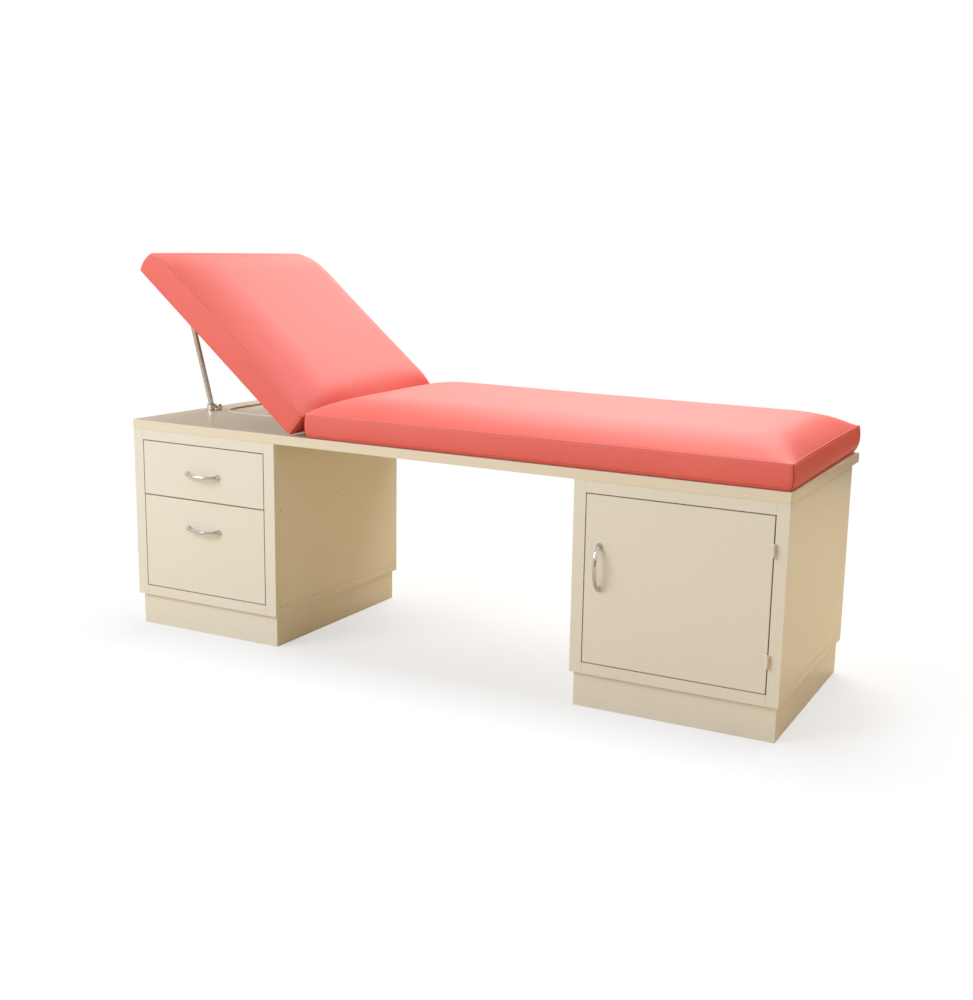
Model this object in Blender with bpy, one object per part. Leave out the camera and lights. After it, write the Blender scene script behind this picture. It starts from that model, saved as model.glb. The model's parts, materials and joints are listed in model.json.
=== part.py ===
"""Examination table: two enamelled steel pedestals under a steel deck, a seat pad, and a backrest on a prop.

Units are metres, +Z is up and +X runs along the table from the backrest end to the foot end. The drawers
and the door face -Y. The origin lies on the floor, under the middle of the whole table.
"""

import math

import bmesh
import bpy
from mathutils import Matrix, Vector

# Deck
DECK_LENGTH = 1.829
DECK_WIDTH = 0.631
DECK_HEIGHT = 0.569
DECK_EDGE = 0.024
DECK_SHEET = 0.002
DECK_CORNER = 0.004
DECK_EASE = 0.0012
DECK_FLANGE = 0.015
OVERHANG_END = 0.003
OVERHANG_FRONT = 0.001
OVERHANG_BACK = 0.061

# Well in the deck under the backrest, from the deck's left end and front edge
WELL_LEFT = 0.057
WELL_FRONT = 0.262
WELL_LENGTH = 0.273
WELL_WIDTH = 0.298
WELL_DEPTH = 0.005
WELL_CORNER = 0.095
WELL_FLANGE = 0.012
WELL_SHEET = 0.0015

# Stiffening channels under the deck, across the knee space
STIFFENER_WIDTH = 0.040
STIFFENER_SHEET = 0.002
STIFFENER_INSET = 0.110
STIFFENER_LAP = 0.068

# Pedestals
CASE_SHEET = 0.002
FRAME_SHEET = 0.002
FRAME_RETURN = 0.020
FRAME_SIDE = 0.0185
LEFT_CASE_WIDTH = 0.4655
RIGHT_CASE_WIDTH = 0.508
PLINTH_HEIGHT = 0.085
PLINTH_SHEET = 0.002
PLINTH_FLANGE = 0.024
PLINTH_INSET_FRONT = 0.012
PLINTH_INSET_SIDE = 0.007
STILE_DRAWER_LEFT = 0.031
STILE_DRAWER_RIGHT = 0.0325
STILE_DOOR_LEFT = 0.030
STILE_DOOR_RIGHT = 0.029
RAIL_BOTTOM = 0.027
RAIL_TOP = 0.052

# Drawers
FRONT_GAP = 0.002
FRONT_DEPTH = 0.018
FRONT_SHEET = 0.002
LOWER_FRONT_HEIGHT = 0.253
BOX_INSET = 0.030
BOX_SHEET = 0.0015
BOX_LENGTH = 0.476
LOWER_BOX_HEIGHT = 0.195
UPPER_BOX_HEIGHT = 0.092
SLIDE_INSET = 0.022
SLIDE_WIDTH = 0.012
SLIDE_HEIGHT = 0.019
SLIDE_ABOVE_FRONT_FOOT = 0.013
RUNNER_SHEET = 0.002
RUNNER_DROP = 0.008
RUNNER_SETBACK = 0.024
DIVIDER_DEPTH = 0.028
DIVIDER_HEIGHT = 0.020
DIVIDER_DROP = 0.004
DIVIDER_SETBACK = 0.0025

# Door
HINGE_SIDE_GAP = 0.0024
DOOR_SHEET = 0.002
DOOR_DEPTH = 0.0195
DOOR_LINER_SHEET = 0.0015
DOOR_HINGE_HEIGHT = 0.028
DOOR_HINGE_RADIUS = 0.0044
DOOR_HINGE_LEAF = 0.0008
DOOR_HINGE_REACH = 0.015
DOOR_HINGE_ABOVE_FOOT = 0.061
DOOR_HINGE_BELOW_TOP = 0.090
DOOR_PIN_RADIUS = 0.0019
CATCH_SIZE = (0.036, 0.014, 0.022)
CATCH_BELOW_TOP = 0.060
SHELF_HEIGHT = 0.318
SHELF_LIP = 0.018
SHELF_SHEET = 0.002
SHELF_SETBACK = 0.060
SHELF_ANGLE = 0.018

# Bow pulls
PULL_SPAN = 0.1016
PULL_REACH = 0.028
PULL_RADIUS = 0.0044
PULL_FOOT_RADIUS = 0.0072
PULL_FLARE = 0.007
UPPER_PULL_HEIGHT = 0.438
LOWER_PULL_HEIGHT = 0.291
DOOR_PULL_HEIGHT = 0.346
DOOR_PULL_INSET = 0.035

# Upholstery
PAD_SETBACK_FRONT = 0.004
PAD_SETBACK_BACK = 0.003
SEAT_LEFT = 0.563
SEAT_SETBACK_RIGHT = 0.0015
SEAT_SEAM = 0.060
SEAT_CROWN = 0.049
SEAT_END_BOW = (0.021, 0.012)
SEAT_ROLL = {"side": 6, "ends": (14, 15)}
SEAT_BOARD = 0.020
PAD_DRAW_IN = 0.0025
PAD_BULGE = 0.0015
BOARD_EASE = 0.004
BACKREST_LENGTH = 0.614
BACKREST_SEAM = 0.0685
BACKREST_CROWN = 0.036
BACKREST_CORNER_DROP = (0.009, 0.004)
BACKREST_END_BOW = (0.003, 0.004)
BACKREST_ROLL = {"side": 24, "ends": (10, 14)}
BACKREST_PANEL = 0.012
BACKREST_HOLLOW = 0.024
BACKREST_RAIL = 0.020
BACKREST_HEAD_RAIL = 0.012

# Backrest hinge: its axis from the deck's left end and above the deck, and the tilt of the raised backrest
TILT_DEG = 39.7
PIVOT_LEFT = 0.526
PIVOT_HEIGHT = 0.0271
PIVOT_INSET = 0.0057
FLAT_GAP = 0.001
HINGE_INSET = 0.120
HINGE_WIDTH = 0.056
HINGE_BARREL = 0.005
HINGE_PIN = 0.0022
HINGE_PLATE = 0.0025
HINGE_ARM = 0.0115
HINGE_FOOT = 0.0320
HINGE_NOTCH = 0.062
HINGE_NOTCH_DEPTH = 0.014
HINGE_LUG_WIDTH = 0.050
HINGE_LUG_HEIGHT = 0.024

# Prop: where it passes the deck, from the left end and front edge, and where it meets the backrest
PROP_FOOT_LEFT = 0.048
PROP_FOOT_FRONT = 0.262
PROP_TOP_ALONG = 0.587
PROP_TOP_FRONT = 0.1365
PROP_RADIUS = 0.007
PROP_BELOW_DECK = 0.084
PROP_BORE_CLEARANCE = 0.0006
COLLAR_HEIGHT = 0.018
COLLAR_RADIUS = 0.013
COLLAR_FLANGE_RADIUS = 0.0165
COLLAR_FLANGE = 0.0035
GUIDE_RADIUS = 0.0105
GUIDE_LENGTH = 0.060
GUIDE_FLANGE_RADIUS = 0.020
GUIDE_FLANGE = 0.003
STOP_RADIUS = 0.0105
STOP_THICKNESS = 0.008
PROP_SEAT_NEAR = 0.014
PROP_SEAT_HALF_WIDTH = 0.016
PROP_SEAT_LIFT = 0.0015
KNOB_BEARING_DEG = 50.0
KNOB_RADIUS = 0.0085
KNOB_FLUTE = 0.0006
KNOB_THICKNESS = 0.011
KNOB_STEM_RADIUS = 0.0028
KNOB_STANDOFF = 0.0008

# Clearances and facets
SEAT_GAP = 0.0003
RUN_GAP = 0.0004
ROUND_SIDES = 20
SMALL_SIDES = 12

# Places that follow from the sizes above
LEFT_END = -DECK_LENGTH / 2
RIGHT_END = DECK_LENGTH / 2
DECK_FRONT = -(DECK_WIDTH + OVERHANG_FRONT - PULL_REACH - SEAT_GAP) / 2
DECK_BACK = DECK_FRONT + DECK_WIDTH
DECK_UNDERSIDE = DECK_HEIGHT - DECK_SHEET
FACE = DECK_FRONT + OVERHANG_FRONT
CASE_BACK = DECK_BACK - OVERHANG_BACK
CASE_FOOT = PLINTH_HEIGHT + SEAT_GAP
CASE_TOP = DECK_HEIGHT - DECK_EDGE - SEAT_GAP
OPENING_FOOT = PLINTH_HEIGHT + RAIL_BOTTOM
OPENING_TOP = DECK_HEIGHT - RAIL_TOP
LEFT_CASE = (LEFT_END + OVERHANG_END, LEFT_END + OVERHANG_END + LEFT_CASE_WIDTH)
RIGHT_CASE = (RIGHT_END - OVERHANG_END - RIGHT_CASE_WIDTH, RIGHT_END - OVERHANG_END)
DRAWER_OPENING = (LEFT_CASE[0] + STILE_DRAWER_LEFT, LEFT_CASE[1] - STILE_DRAWER_RIGHT)
DOOR_OPENING = (RIGHT_CASE[0] + STILE_DOOR_LEFT, RIGHT_CASE[1] - STILE_DOOR_RIGHT)
PAD_FRONT = DECK_FRONT + PAD_SETBACK_FRONT
PAD_BACK = DECK_BACK - PAD_SETBACK_BACK
TILT = math.radians(TILT_DEG)
BACKREST_UNDERSIDE = FLAT_GAP - PIVOT_HEIGHT
RAIL_DEPTH = BACKREST_HOLLOW + BACKREST_PANEL


def clear_scene():
    for obj in list(bpy.data.objects):
        bpy.data.objects.remove(obj, do_unlink=True)


# Finishes: colour, roughness and metallic value
ENAMEL = ((0.76, 0.68, 0.53), 0.35, 0.0)
VINYL = ((0.88, 0.20, 0.16), 0.45, 0.0)
CHROME = ((0.72, 0.71, 0.69), 0.12, 1.0)
ZINC = ((0.60, 0.60, 0.60), 0.40, 1.0)
PLYWOOD = ((0.62, 0.45, 0.28), 0.70, 0.0)


def material(name, colour, roughness, metallic):
    made = bpy.data.materials.new(name)
    made.use_nodes = True
    shader = made.node_tree.nodes["Principled BSDF"]
    shader.inputs["Base Color"].default_value = (*colour, 1.0)
    shader.inputs["Roughness"].default_value = roughness
    shader.inputs["Metallic"].default_value = metallic
    return made


# Outlines in two dimensions, and their place in space

def rectangle(low, high):
    return [(low[0], low[1]), (high[0], low[1]), (high[0], high[1]), (low[0], high[1])]


def grown(low, high, by):
    return rectangle((low[0] - by, low[1] - by), (high[0] + by, high[1] + by))


def rounded(low, high, radius, by=0.0, steps=4):
    """A rectangle with round corners, grown on all sides by the given amount."""
    low = (low[0] - by, low[1] - by)
    high = (high[0] + by, high[1] + by)
    radius = radius + by
    centres = rectangle((low[0] + radius, low[1] + radius), (high[0] - radius, high[1] - radius))
    points = []
    for corner, (u, v) in enumerate(centres):
        for step in range(steps + 1):
            angle = math.pi * (1 + corner / 2 + step / steps / 2)
            points.append((u + radius * math.cos(angle), v + radius * math.sin(angle)))
    return points


def circle(radius, sides=ROUND_SIDES, centre=(0.0, 0.0), flute=0.0):
    """A round outline, with every other point drawn in by the flute's depth."""
    points = []
    for step in range(sides):
        angle = 2 * math.pi * step / sides
        reach = radius - flute * (step % 2)
        points.append((centre[0] + reach * math.cos(angle), centre[1] + reach * math.sin(angle)))
    return points


def at(outline, axis, level):
    """The outline's points at one level along an axis."""
    place = {
        "X": lambda u, v: (level, u, v),
        "Y": lambda u, v: (u, level, v),
        "Z": lambda u, v: (u, v, level),
    }[axis]
    return [Vector(place(u, v)) for u, v in outline]


# Solids

def loft(mesh, loops, ring=False):
    """Skins loops of equal length in order. A ring joins last to first; otherwise both ends are capped."""
    rows = [[mesh.verts.new(point) for point in loop] for loop in loops]
    pairs = list(zip(rows, rows[1:] + rows[:1] if ring else rows[1:]))
    for lower, upper in pairs:
        for i in range(len(lower)):
            j = (i + 1) % len(lower)
            mesh.faces.new((lower[i], lower[j], upper[j], upper[i]))
    if not ring:
        mesh.faces.new(rows[0])
        mesh.faces.new(rows[-1])


def piece(name, surface, shape, parent=None, smooth_deg=None, in_place=True):
    """One named object, filled by the shape function. In place, its points are in the table's frame."""
    mesh = bmesh.new()
    shape(mesh)
    bmesh.ops.recalc_face_normals(mesh, faces=mesh.faces[:])
    data = bpy.data.meshes.new(name)
    mesh.to_mesh(data)
    mesh.free()
    if smooth_deg is not None:
        data.shade_smooth()
        data.set_sharp_from_angle(angle=math.radians(smooth_deg))
    if surface is not None:
        data.materials.append(material(f"{name}_finish", *surface))
    obj = bpy.data.objects.new(name, data)
    bpy.context.scene.collection.objects.link(obj)
    if parent is not None:
        obj.parent = parent
        if in_place:
            obj.matrix_parent_inverse = parent.matrix_world.inverted()
    return obj


def lofted(name, surface, loops, ring=False, **settings):
    return piece(name, surface, lambda mesh: loft(mesh, loops, ring), **settings)


def prism(name, surface, outline, axis, low, high, **settings):
    return lofted(name, surface, [at(outline, axis, low), at(outline, axis, high)], **settings)


def helper(obj, target, operation):
    """Joins a shape to the target, or cuts it out, and hides it."""
    obj.hide_render = True
    obj.display_type = "WIRE"
    obj.parent = target.parent
    obj.matrix_parent_inverse = target.matrix_parent_inverse.copy()
    step = target.modifiers.new(obj.name, "BOOLEAN")
    step.operation = operation
    step.solver = "EXACT"
    step.object = obj


def joint_empty(name, place, rotation=None):
    empty = bpy.data.objects.new(name, None)
    bpy.context.scene.collection.objects.link(empty)
    empty.empty_display_size = 0.05
    empty.matrix_world = Matrix.Translation(place) @ (rotation or Matrix())
    bpy.context.view_layer.update()
    return empty


def tray(loops_out, loops_in):
    """Loops of an open tray, from its closed outer face over the rim to its closed inner face."""
    return list(loops_out) + list(reversed(loops_in))


# Deck

def make_deck(surface, prop):
    low = (LEFT_END, DECK_FRONT)
    high = (RIGHT_END, DECK_BACK)
    skirt_foot = DECK_HEIGHT - DECK_EDGE
    within = (low[0] + DECK_FLANGE, low[1] + DECK_FLANGE), (high[0] - DECK_FLANGE, high[1] - DECK_FLANGE)
    flange = rounded(*within, DECK_CORNER)
    deck = lofted(
        "deck_top",
        surface,
        tray(
            [
                at(rounded(low, high, DECK_CORNER, -DECK_EASE), "Z", DECK_HEIGHT),
                at(rounded(low, high, DECK_CORNER), "Z", DECK_HEIGHT - DECK_EASE),
                at(rounded(low, high, DECK_CORNER), "Z", skirt_foot),
            ],
            [
                at(rounded(low, high, DECK_CORNER, -DECK_SHEET), "Z", DECK_UNDERSIDE),
                at(rounded(low, high, DECK_CORNER, -DECK_SHEET), "Z", skirt_foot + DECK_SHEET),
                at(flange, "Z", skirt_foot + DECK_SHEET),
                at(flange, "Z", skirt_foot),
            ],
        ),
    )
    well_low = (LEFT_END + WELL_LEFT, DECK_FRONT + WELL_FRONT)
    well_high = (well_low[0] + WELL_LENGTH, well_low[1] + WELL_WIDTH)

    def well(by):
        return rounded(well_low, well_high, WELL_CORNER, by, steps=8)

    opening = prism("well_cutter", None, well(0.0), "Z", DECK_HEIGHT - DECK_EDGE, DECK_HEIGHT + DECK_EDGE)
    helper(opening, deck, "DIFFERENCE")
    round_hole = circle(prop.bore + PROP_BORE_CLEARANCE)
    hole = prism("prop_hole_cutter", None, round_hole, "Z", -DECK_EDGE, DECK_EDGE)
    hole.matrix_world = prop.at_deck
    helper(hole, deck, "DIFFERENCE")

    flange_top = DECK_UNDERSIDE - SEAT_GAP
    floor = DECK_HEIGHT - WELL_DEPTH
    lofted(
        "deck_well_pan",
        surface,
        [
            at(well(0.0), "Z", floor),
            at(well(0.0), "Z", flange_top),
            at(well(WELL_FLANGE), "Z", flange_top),
            at(well(WELL_FLANGE), "Z", flange_top - WELL_SHEET),
            at(well(WELL_SHEET), "Z", flange_top - WELL_SHEET),
            at(well(WELL_SHEET), "Z", floor - WELL_SHEET),
        ],
    )
    channel_top = DECK_UNDERSIDE - SEAT_GAP
    channel_foot = DECK_HEIGHT - DECK_EDGE
    ends = (LEFT_CASE[1] - STIFFENER_LAP, RIGHT_CASE[0] + STIFFENER_LAP)
    for name, near in (
        ("deck_stiffener_front", DECK_FRONT + STIFFENER_INSET),
        ("deck_stiffener_rear", DECK_BACK - STIFFENER_INSET - STIFFENER_WIDTH),
    ):
        far = near + STIFFENER_WIDTH
        channel = [
            (near, channel_top),
            (near, channel_foot),
            (far, channel_foot),
            (far, channel_top),
            (far - STIFFENER_SHEET, channel_top),
            (far - STIFFENER_SHEET, channel_foot + STIFFENER_SHEET),
            (near + STIFFENER_SHEET, channel_foot + STIFFENER_SHEET),
            (near + STIFFENER_SHEET, channel_top),
        ]
        prism(name, surface, channel, "X", *ends)


# Pedestals

def make_pedestal(side, surface, case, opening):
    """The folded case, its floor, its face frame round the opening and its plinth."""
    left, right = case
    wall_front = FACE + FRAME_SIDE + SEAT_GAP
    inner = (left + CASE_SHEET, right - CASE_SHEET)
    walls = [
        (left, wall_front),
        (left, CASE_BACK),
        (right, CASE_BACK),
        (right, wall_front),
        (inner[1], wall_front),
        (inner[1], CASE_BACK - CASE_SHEET),
        (inner[0], CASE_BACK - CASE_SHEET),
        (inner[0], wall_front),
    ]
    prism(f"{side}_case", surface, walls, "Z", CASE_FOOT, CASE_TOP)

    floor = rectangle(
        (inner[0] + SEAT_GAP, wall_front),
        (inner[1] - SEAT_GAP, CASE_BACK - CASE_SHEET - SEAT_GAP),
    )
    prism(f"{side}_case_floor", surface, floor, "Z", CASE_FOOT, CASE_FOOT + CASE_SHEET)

    corners = (left, CASE_FOOT), (right, CASE_TOP)
    outside = rectangle(*corners)
    low, high = (opening[0], OPENING_FOOT), (opening[1], OPENING_TOP)
    lofted(
        f"{side}_face_frame",
        surface,
        [
            at(outside, "Y", FACE),
            at(rectangle(low, high), "Y", FACE),
            at(rectangle(low, high), "Y", FACE + FRAME_RETURN),
            at(grown(low, high, FRAME_SHEET), "Y", FACE + FRAME_RETURN),
            at(grown(low, high, FRAME_SHEET), "Y", FACE + FRAME_SHEET),
            at(grown(*corners, -FRAME_SHEET), "Y", FACE + FRAME_SHEET),
            at(grown(*corners, -FRAME_SHEET), "Y", FACE + FRAME_SIDE),
            at(outside, "Y", FACE + FRAME_SIDE),
        ],
        ring=True,
    )

    foot_low = (left + PLINTH_INSET_SIDE, FACE + PLINTH_INSET_FRONT)
    foot_high = (right - PLINTH_INSET_SIDE, CASE_BACK - PLINTH_INSET_FRONT)
    lofted(
        f"{side}_plinth",
        surface,
        [
            at(rectangle(foot_low, foot_high), "Z", 0.0),
            at(rectangle(foot_low, foot_high), "Z", PLINTH_HEIGHT),
            at(grown(foot_low, foot_high, -PLINTH_SHEET), "Z", PLINTH_HEIGHT),
            at(grown(foot_low, foot_high, -PLINTH_SHEET), "Z", PLINTH_SHEET),
            at(grown(foot_low, foot_high, -PLINTH_FLANGE), "Z", PLINTH_SHEET),
            at(grown(foot_low, foot_high, -PLINTH_FLANGE), "Z", 0.0),
        ],
        ring=True,
    )


# Bow pulls

def bow(name, surface, middle, along, parent):
    """A pull bent from round bar in half an ellipse, flared at its two feet, standing out towards -Y."""
    steps = 22
    reach = PULL_REACH - PULL_RADIUS
    loops = []
    for step in range(steps + 1):
        angle = math.pi * step / steps
        stand = max(reach * math.sin(angle), 0.0)
        centre = middle + along * (PULL_SPAN / 2 * math.cos(angle)) + Vector((0, -stand - SEAT_GAP, 0))
        tangent = along * (-PULL_SPAN / 2 * math.sin(angle)) + Vector((0, -reach * math.cos(angle), 0))
        across = along.cross(Vector((0, 1, 0))).normalized()
        inward = tangent.normalized().cross(across)
        radius = PULL_RADIUS + (PULL_FOOT_RADIUS - PULL_RADIUS) * math.exp(-((stand / PULL_FLARE) ** 2))
        loops.append([centre + across * u + inward * v for u, v in circle(radius, SMALL_SIDES)])
    return lofted(name, surface, loops, parent=parent, smooth_deg=50)


# Drawers

def make_drawer(name, front_foot, front_top, box_height, pull_height, slide_front):
    """A pan front, a box behind it and two channel runners that ride on fixed hat rails."""
    low = (DRAWER_OPENING[0] + FRONT_GAP, front_foot)
    high = (DRAWER_OPENING[1] - FRONT_GAP, front_top)
    empty = joint_empty(f"{name}_slide", Vector(((low[0] + high[0]) / 2, FACE, front_foot)))
    lofted(
        f"{name}_front",
        ENAMEL,
        tray(
            [at(rectangle(low, high), "Y", FACE), at(rectangle(low, high), "Y", FACE + FRONT_DEPTH)],
            [
                at(grown(low, high, -FRONT_SHEET), "Y", FACE + FRONT_SHEET),
                at(grown(low, high, -FRONT_SHEET), "Y", FACE + FRONT_DEPTH),
            ],
        ),
        parent=empty,
    )
    rail_top = front_foot + SLIDE_ABOVE_FRONT_FOOT
    runner_top = rail_top + RUN_GAP + RUNNER_SHEET
    box_foot = runner_top + SEAT_GAP
    box_top = box_foot + box_height
    box_low = (low[0] + BOX_INSET, FACE + FRONT_SHEET + SEAT_GAP)
    box_high = (high[0] - BOX_INSET, box_low[1] + BOX_LENGTH)
    outside, inside = rectangle(box_low, box_high), grown(box_low, box_high, -BOX_SHEET)
    lofted(
        f"{name}_box",
        ENAMEL,
        tray(
            [at(outside, "Z", box_foot), at(outside, "Z", box_top)],
            [at(inside, "Z", box_foot + BOX_SHEET), at(inside, "Z", box_top)],
        ),
        parent=empty,
    )
    middle = Vector(((low[0] + high[0]) / 2, FACE, pull_height))
    bow(f"{name}_pull", CHROME, middle, Vector((1, 0, 0)), empty)
    back = CASE_BACK - CASE_SHEET - SEAT_GAP
    for side, centre in (("left", box_low[0] + SLIDE_INSET), ("right", box_high[0] - SLIDE_INSET)):
        half = SLIDE_WIDTH / 2
        rail = rectangle((centre - half, rail_top - SLIDE_HEIGHT), (centre + half, rail_top))
        prism(f"{name}_{side}_rail", ZINC, rail, "Y", slide_front, back)
        gap = half + RUN_GAP
        wall = gap + RUNNER_SHEET
        runner = [
            (centre - wall, runner_top),
            (centre - wall, rail_top - RUNNER_DROP),
            (centre - gap, rail_top - RUNNER_DROP),
            (centre - gap, rail_top + RUN_GAP),
            (centre + gap, rail_top + RUN_GAP),
            (centre + gap, rail_top - RUNNER_DROP),
            (centre + wall, rail_top - RUNNER_DROP),
            (centre + wall, runner_top),
        ]
        prism(f"{name}_{side}_runner", ZINC, runner, "Y", FACE + RUNNER_SETBACK, box_high[1], parent=empty)


def make_drawers():
    lower_foot = OPENING_FOOT + FRONT_GAP
    lower_top = lower_foot + LOWER_FRONT_HEIGHT
    upper_foot = lower_top + FRONT_GAP
    divider_top = lower_top + FRONT_GAP / 2 - DIVIDER_DROP
    divider_front = FACE + FRAME_RETURN + DIVIDER_SETBACK
    divider_back = divider_front + DIVIDER_DEPTH
    ends = (LEFT_CASE[0] + CASE_SHEET + SEAT_GAP, LEFT_CASE[1] - CASE_SHEET - SEAT_GAP)
    divider = [
        (divider_front, divider_top),
        (divider_front, divider_top - DIVIDER_HEIGHT),
        (divider_front + CASE_SHEET, divider_top - DIVIDER_HEIGHT),
        (divider_front + CASE_SHEET, divider_top - CASE_SHEET),
        (divider_back - CASE_SHEET, divider_top - CASE_SHEET),
        (divider_back - CASE_SHEET, divider_top - DIVIDER_HEIGHT),
        (divider_back, divider_top - DIVIDER_HEIGHT),
        (divider_back, divider_top),
    ]
    prism("drawer_divider_rail", ENAMEL, divider, "X", *ends)
    make_drawer(
        "lower_drawer",
        lower_foot,
        lower_top,
        LOWER_BOX_HEIGHT,
        LOWER_PULL_HEIGHT,
        FACE + FRAME_RETURN + SEAT_GAP,
    )
    make_drawer(
        "upper_drawer",
        upper_foot,
        OPENING_TOP - FRONT_GAP,
        UPPER_BOX_HEIGHT,
        UPPER_PULL_HEIGHT,
        divider_back + SEAT_GAP,
    )


# Door and cabinet

def make_butt_hinge(name, surface, axis, foot, edges, empty):
    """A small butt hinge: two leaves in the gap beside the door, a barrel of three knuckles, and a pin."""
    third = DOOR_HINGE_HEIGHT / 3
    rear = FACE + DOOR_HINGE_REACH
    face = FACE + 2 * SEAT_GAP
    levels = [foot + third * step for step in range(4)]
    bore = DOOR_PIN_RADIUS + SEAT_GAP

    def knuckle(label, low, high, target):
        barrel = prism(label, None, circle(DOOR_HINGE_RADIUS, SMALL_SIDES, axis), "Z", low, high)
        helper(barrel, target, "UNION")

    def drill(target):
        outline = circle(bore, SMALL_SIDES, axis)
        hole = prism(f"{target.name}_bore", None, outline, "Z", foot - third, foot + 4 * third)
        helper(hole, target, "DIFFERENCE")

    fixed_outline = [
        (axis[1], levels[0]),
        (axis[1], levels[1] - RUN_GAP / 2),
        (face, levels[1] - RUN_GAP / 2),
        (face, levels[2] + RUN_GAP / 2),
        (axis[1], levels[2] + RUN_GAP / 2),
        (axis[1], levels[3]),
        (rear, levels[3]),
        (rear, levels[0]),
    ]
    right = edges[1] - SEAT_GAP
    fixed = prism(f"{name}_frame_leaf", surface, fixed_outline, "X", right - DOOR_HINGE_LEAF, right)
    knuckle(f"{name}_low_knuckle", levels[0], levels[1] - RUN_GAP / 2, fixed)
    knuckle(f"{name}_high_knuckle", levels[2] + RUN_GAP / 2, levels[3], fixed)
    drill(fixed)

    moving_outline = [
        (axis[1], levels[1] + RUN_GAP / 2),
        (axis[1], levels[2] - RUN_GAP / 2),
        (face, levels[2] - RUN_GAP / 2),
        (face, levels[3]),
        (rear, levels[3]),
        (rear, levels[0]),
        (face, levels[0]),
        (face, levels[1] + RUN_GAP / 2),
    ]
    left = edges[0] + SEAT_GAP
    moving = prism(
        f"{name}_door_leaf", surface, moving_outline, "X", left, left + DOOR_HINGE_LEAF, parent=empty
    )
    knuckle(f"{name}_middle_knuckle", levels[1] + RUN_GAP / 2, levels[2] - RUN_GAP / 2, moving)
    drill(moving)

    head = 0.0012
    lofted(
        f"{name}_pin",
        surface,
        [
            at(circle(DOOR_PIN_RADIUS, SMALL_SIDES, axis), "Z", levels[0] - head),
            at(circle(DOOR_PIN_RADIUS, SMALL_SIDES, axis), "Z", levels[3] + SEAT_GAP),
            at(circle(DOOR_HINGE_RADIUS, SMALL_SIDES, axis), "Z", levels[3] + SEAT_GAP),
            at(circle(DOOR_HINGE_RADIUS * 0.6, SMALL_SIDES, axis), "Z", levels[3] + SEAT_GAP + head),
        ],
        smooth_deg=40,
    )


def make_door():
    low = (DOOR_OPENING[0] + FRONT_GAP, OPENING_FOOT + FRONT_GAP)
    high = (DOOR_OPENING[1] - HINGE_SIDE_GAP, OPENING_TOP - FRONT_GAP)
    axis = (high[0] + HINGE_SIDE_GAP / 2, FACE - DOOR_HINGE_RADIUS - SEAT_GAP)
    empty = joint_empty("door_axis", Vector((axis[0], axis[1], low[1])))
    back = FACE + DOOR_DEPTH
    lofted(
        "door_skin",
        ENAMEL,
        tray(
            [at(rectangle(low, high), "Y", FACE), at(rectangle(low, high), "Y", back)],
            [
                at(grown(low, high, -DOOR_SHEET), "Y", FACE + DOOR_SHEET),
                at(grown(low, high, -DOOR_SHEET), "Y", back),
            ],
        ),
        parent=empty,
    )
    inside = DOOR_SHEET + SEAT_GAP
    lofted(
        "door_liner",
        ENAMEL,
        tray(
            [
                at(grown(low, high, -inside), "Y", back),
                at(grown(low, high, -inside), "Y", FACE + DOOR_SHEET + SEAT_GAP),
            ],
            [
                at(grown(low, high, -inside - DOOR_LINER_SHEET), "Y", back - DOOR_LINER_SHEET),
                at(grown(low, high, -inside - DOOR_LINER_SHEET), "Y", FACE + DOOR_SHEET + SEAT_GAP),
            ],
        ),
        parent=empty,
    )
    pull = Vector((low[0] + DOOR_PULL_INSET, FACE, DOOR_PULL_HEIGHT))
    bow("door_pull", CHROME, pull, Vector((0, 0, 1)), empty)
    hinge_feet = {
        "door_upper_hinge": high[1] - DOOR_HINGE_BELOW_TOP,
        "door_lower_hinge": low[1] + DOOR_HINGE_ABOVE_FOOT,
    }
    for name, foot in hinge_feet.items():
        make_butt_hinge(name, ENAMEL, axis, foot, (high[0], DOOR_OPENING[1]), empty)

    catch_top = OPENING_TOP - CATCH_BELOW_TOP
    catch_left = DOOR_OPENING[0] - CATCH_SIZE[0] / 2
    catch = rectangle((catch_left, catch_top - CATCH_SIZE[2]), (catch_left + CATCH_SIZE[0], catch_top))
    catch_front = FACE + FRAME_RETURN + SEAT_GAP
    prism("door_catch", ZINC, catch, "Y", catch_front, catch_front + CATCH_SIZE[1])


def make_shelf():
    walls = (RIGHT_CASE[0] + CASE_SHEET, RIGHT_CASE[1] - CASE_SHEET)
    front = FACE + SHELF_SETBACK
    back = CASE_BACK - CASE_SHEET - SEAT_GAP
    low = (walls[0] + SEAT_GAP, front)
    high = (walls[1] - SEAT_GAP, back)
    lip_foot = SHELF_HEIGHT - SHELF_LIP
    lofted(
        "cabinet_shelf",
        ENAMEL,
        tray(
            [at(rectangle(low, high), "Z", SHELF_HEIGHT), at(rectangle(low, high), "Z", lip_foot)],
            [
                at(grown(low, high, -SHELF_SHEET), "Z", SHELF_HEIGHT - SHELF_SHEET),
                at(grown(low, high, -SHELF_SHEET), "Z", lip_foot),
            ],
        ),
    )
    top = lip_foot - SEAT_GAP
    for side, wall, inward in (("left", walls[0], 1), ("right", walls[1], -1)):
        start = wall + inward * SEAT_GAP
        angle = [
            (start, top),
            (start, top - SHELF_ANGLE),
            (start + inward * SHELF_SHEET, top - SHELF_ANGLE),
            (start + inward * SHELF_SHEET, top - SHELF_SHEET),
            (start + inward * SHELF_ANGLE, top - SHELF_SHEET),
            (start + inward * SHELF_ANGLE, top),
        ]
        prism(f"shelf_{side}_angle", ZINC, angle, "Y", front, back)


# Upholstery

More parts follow.
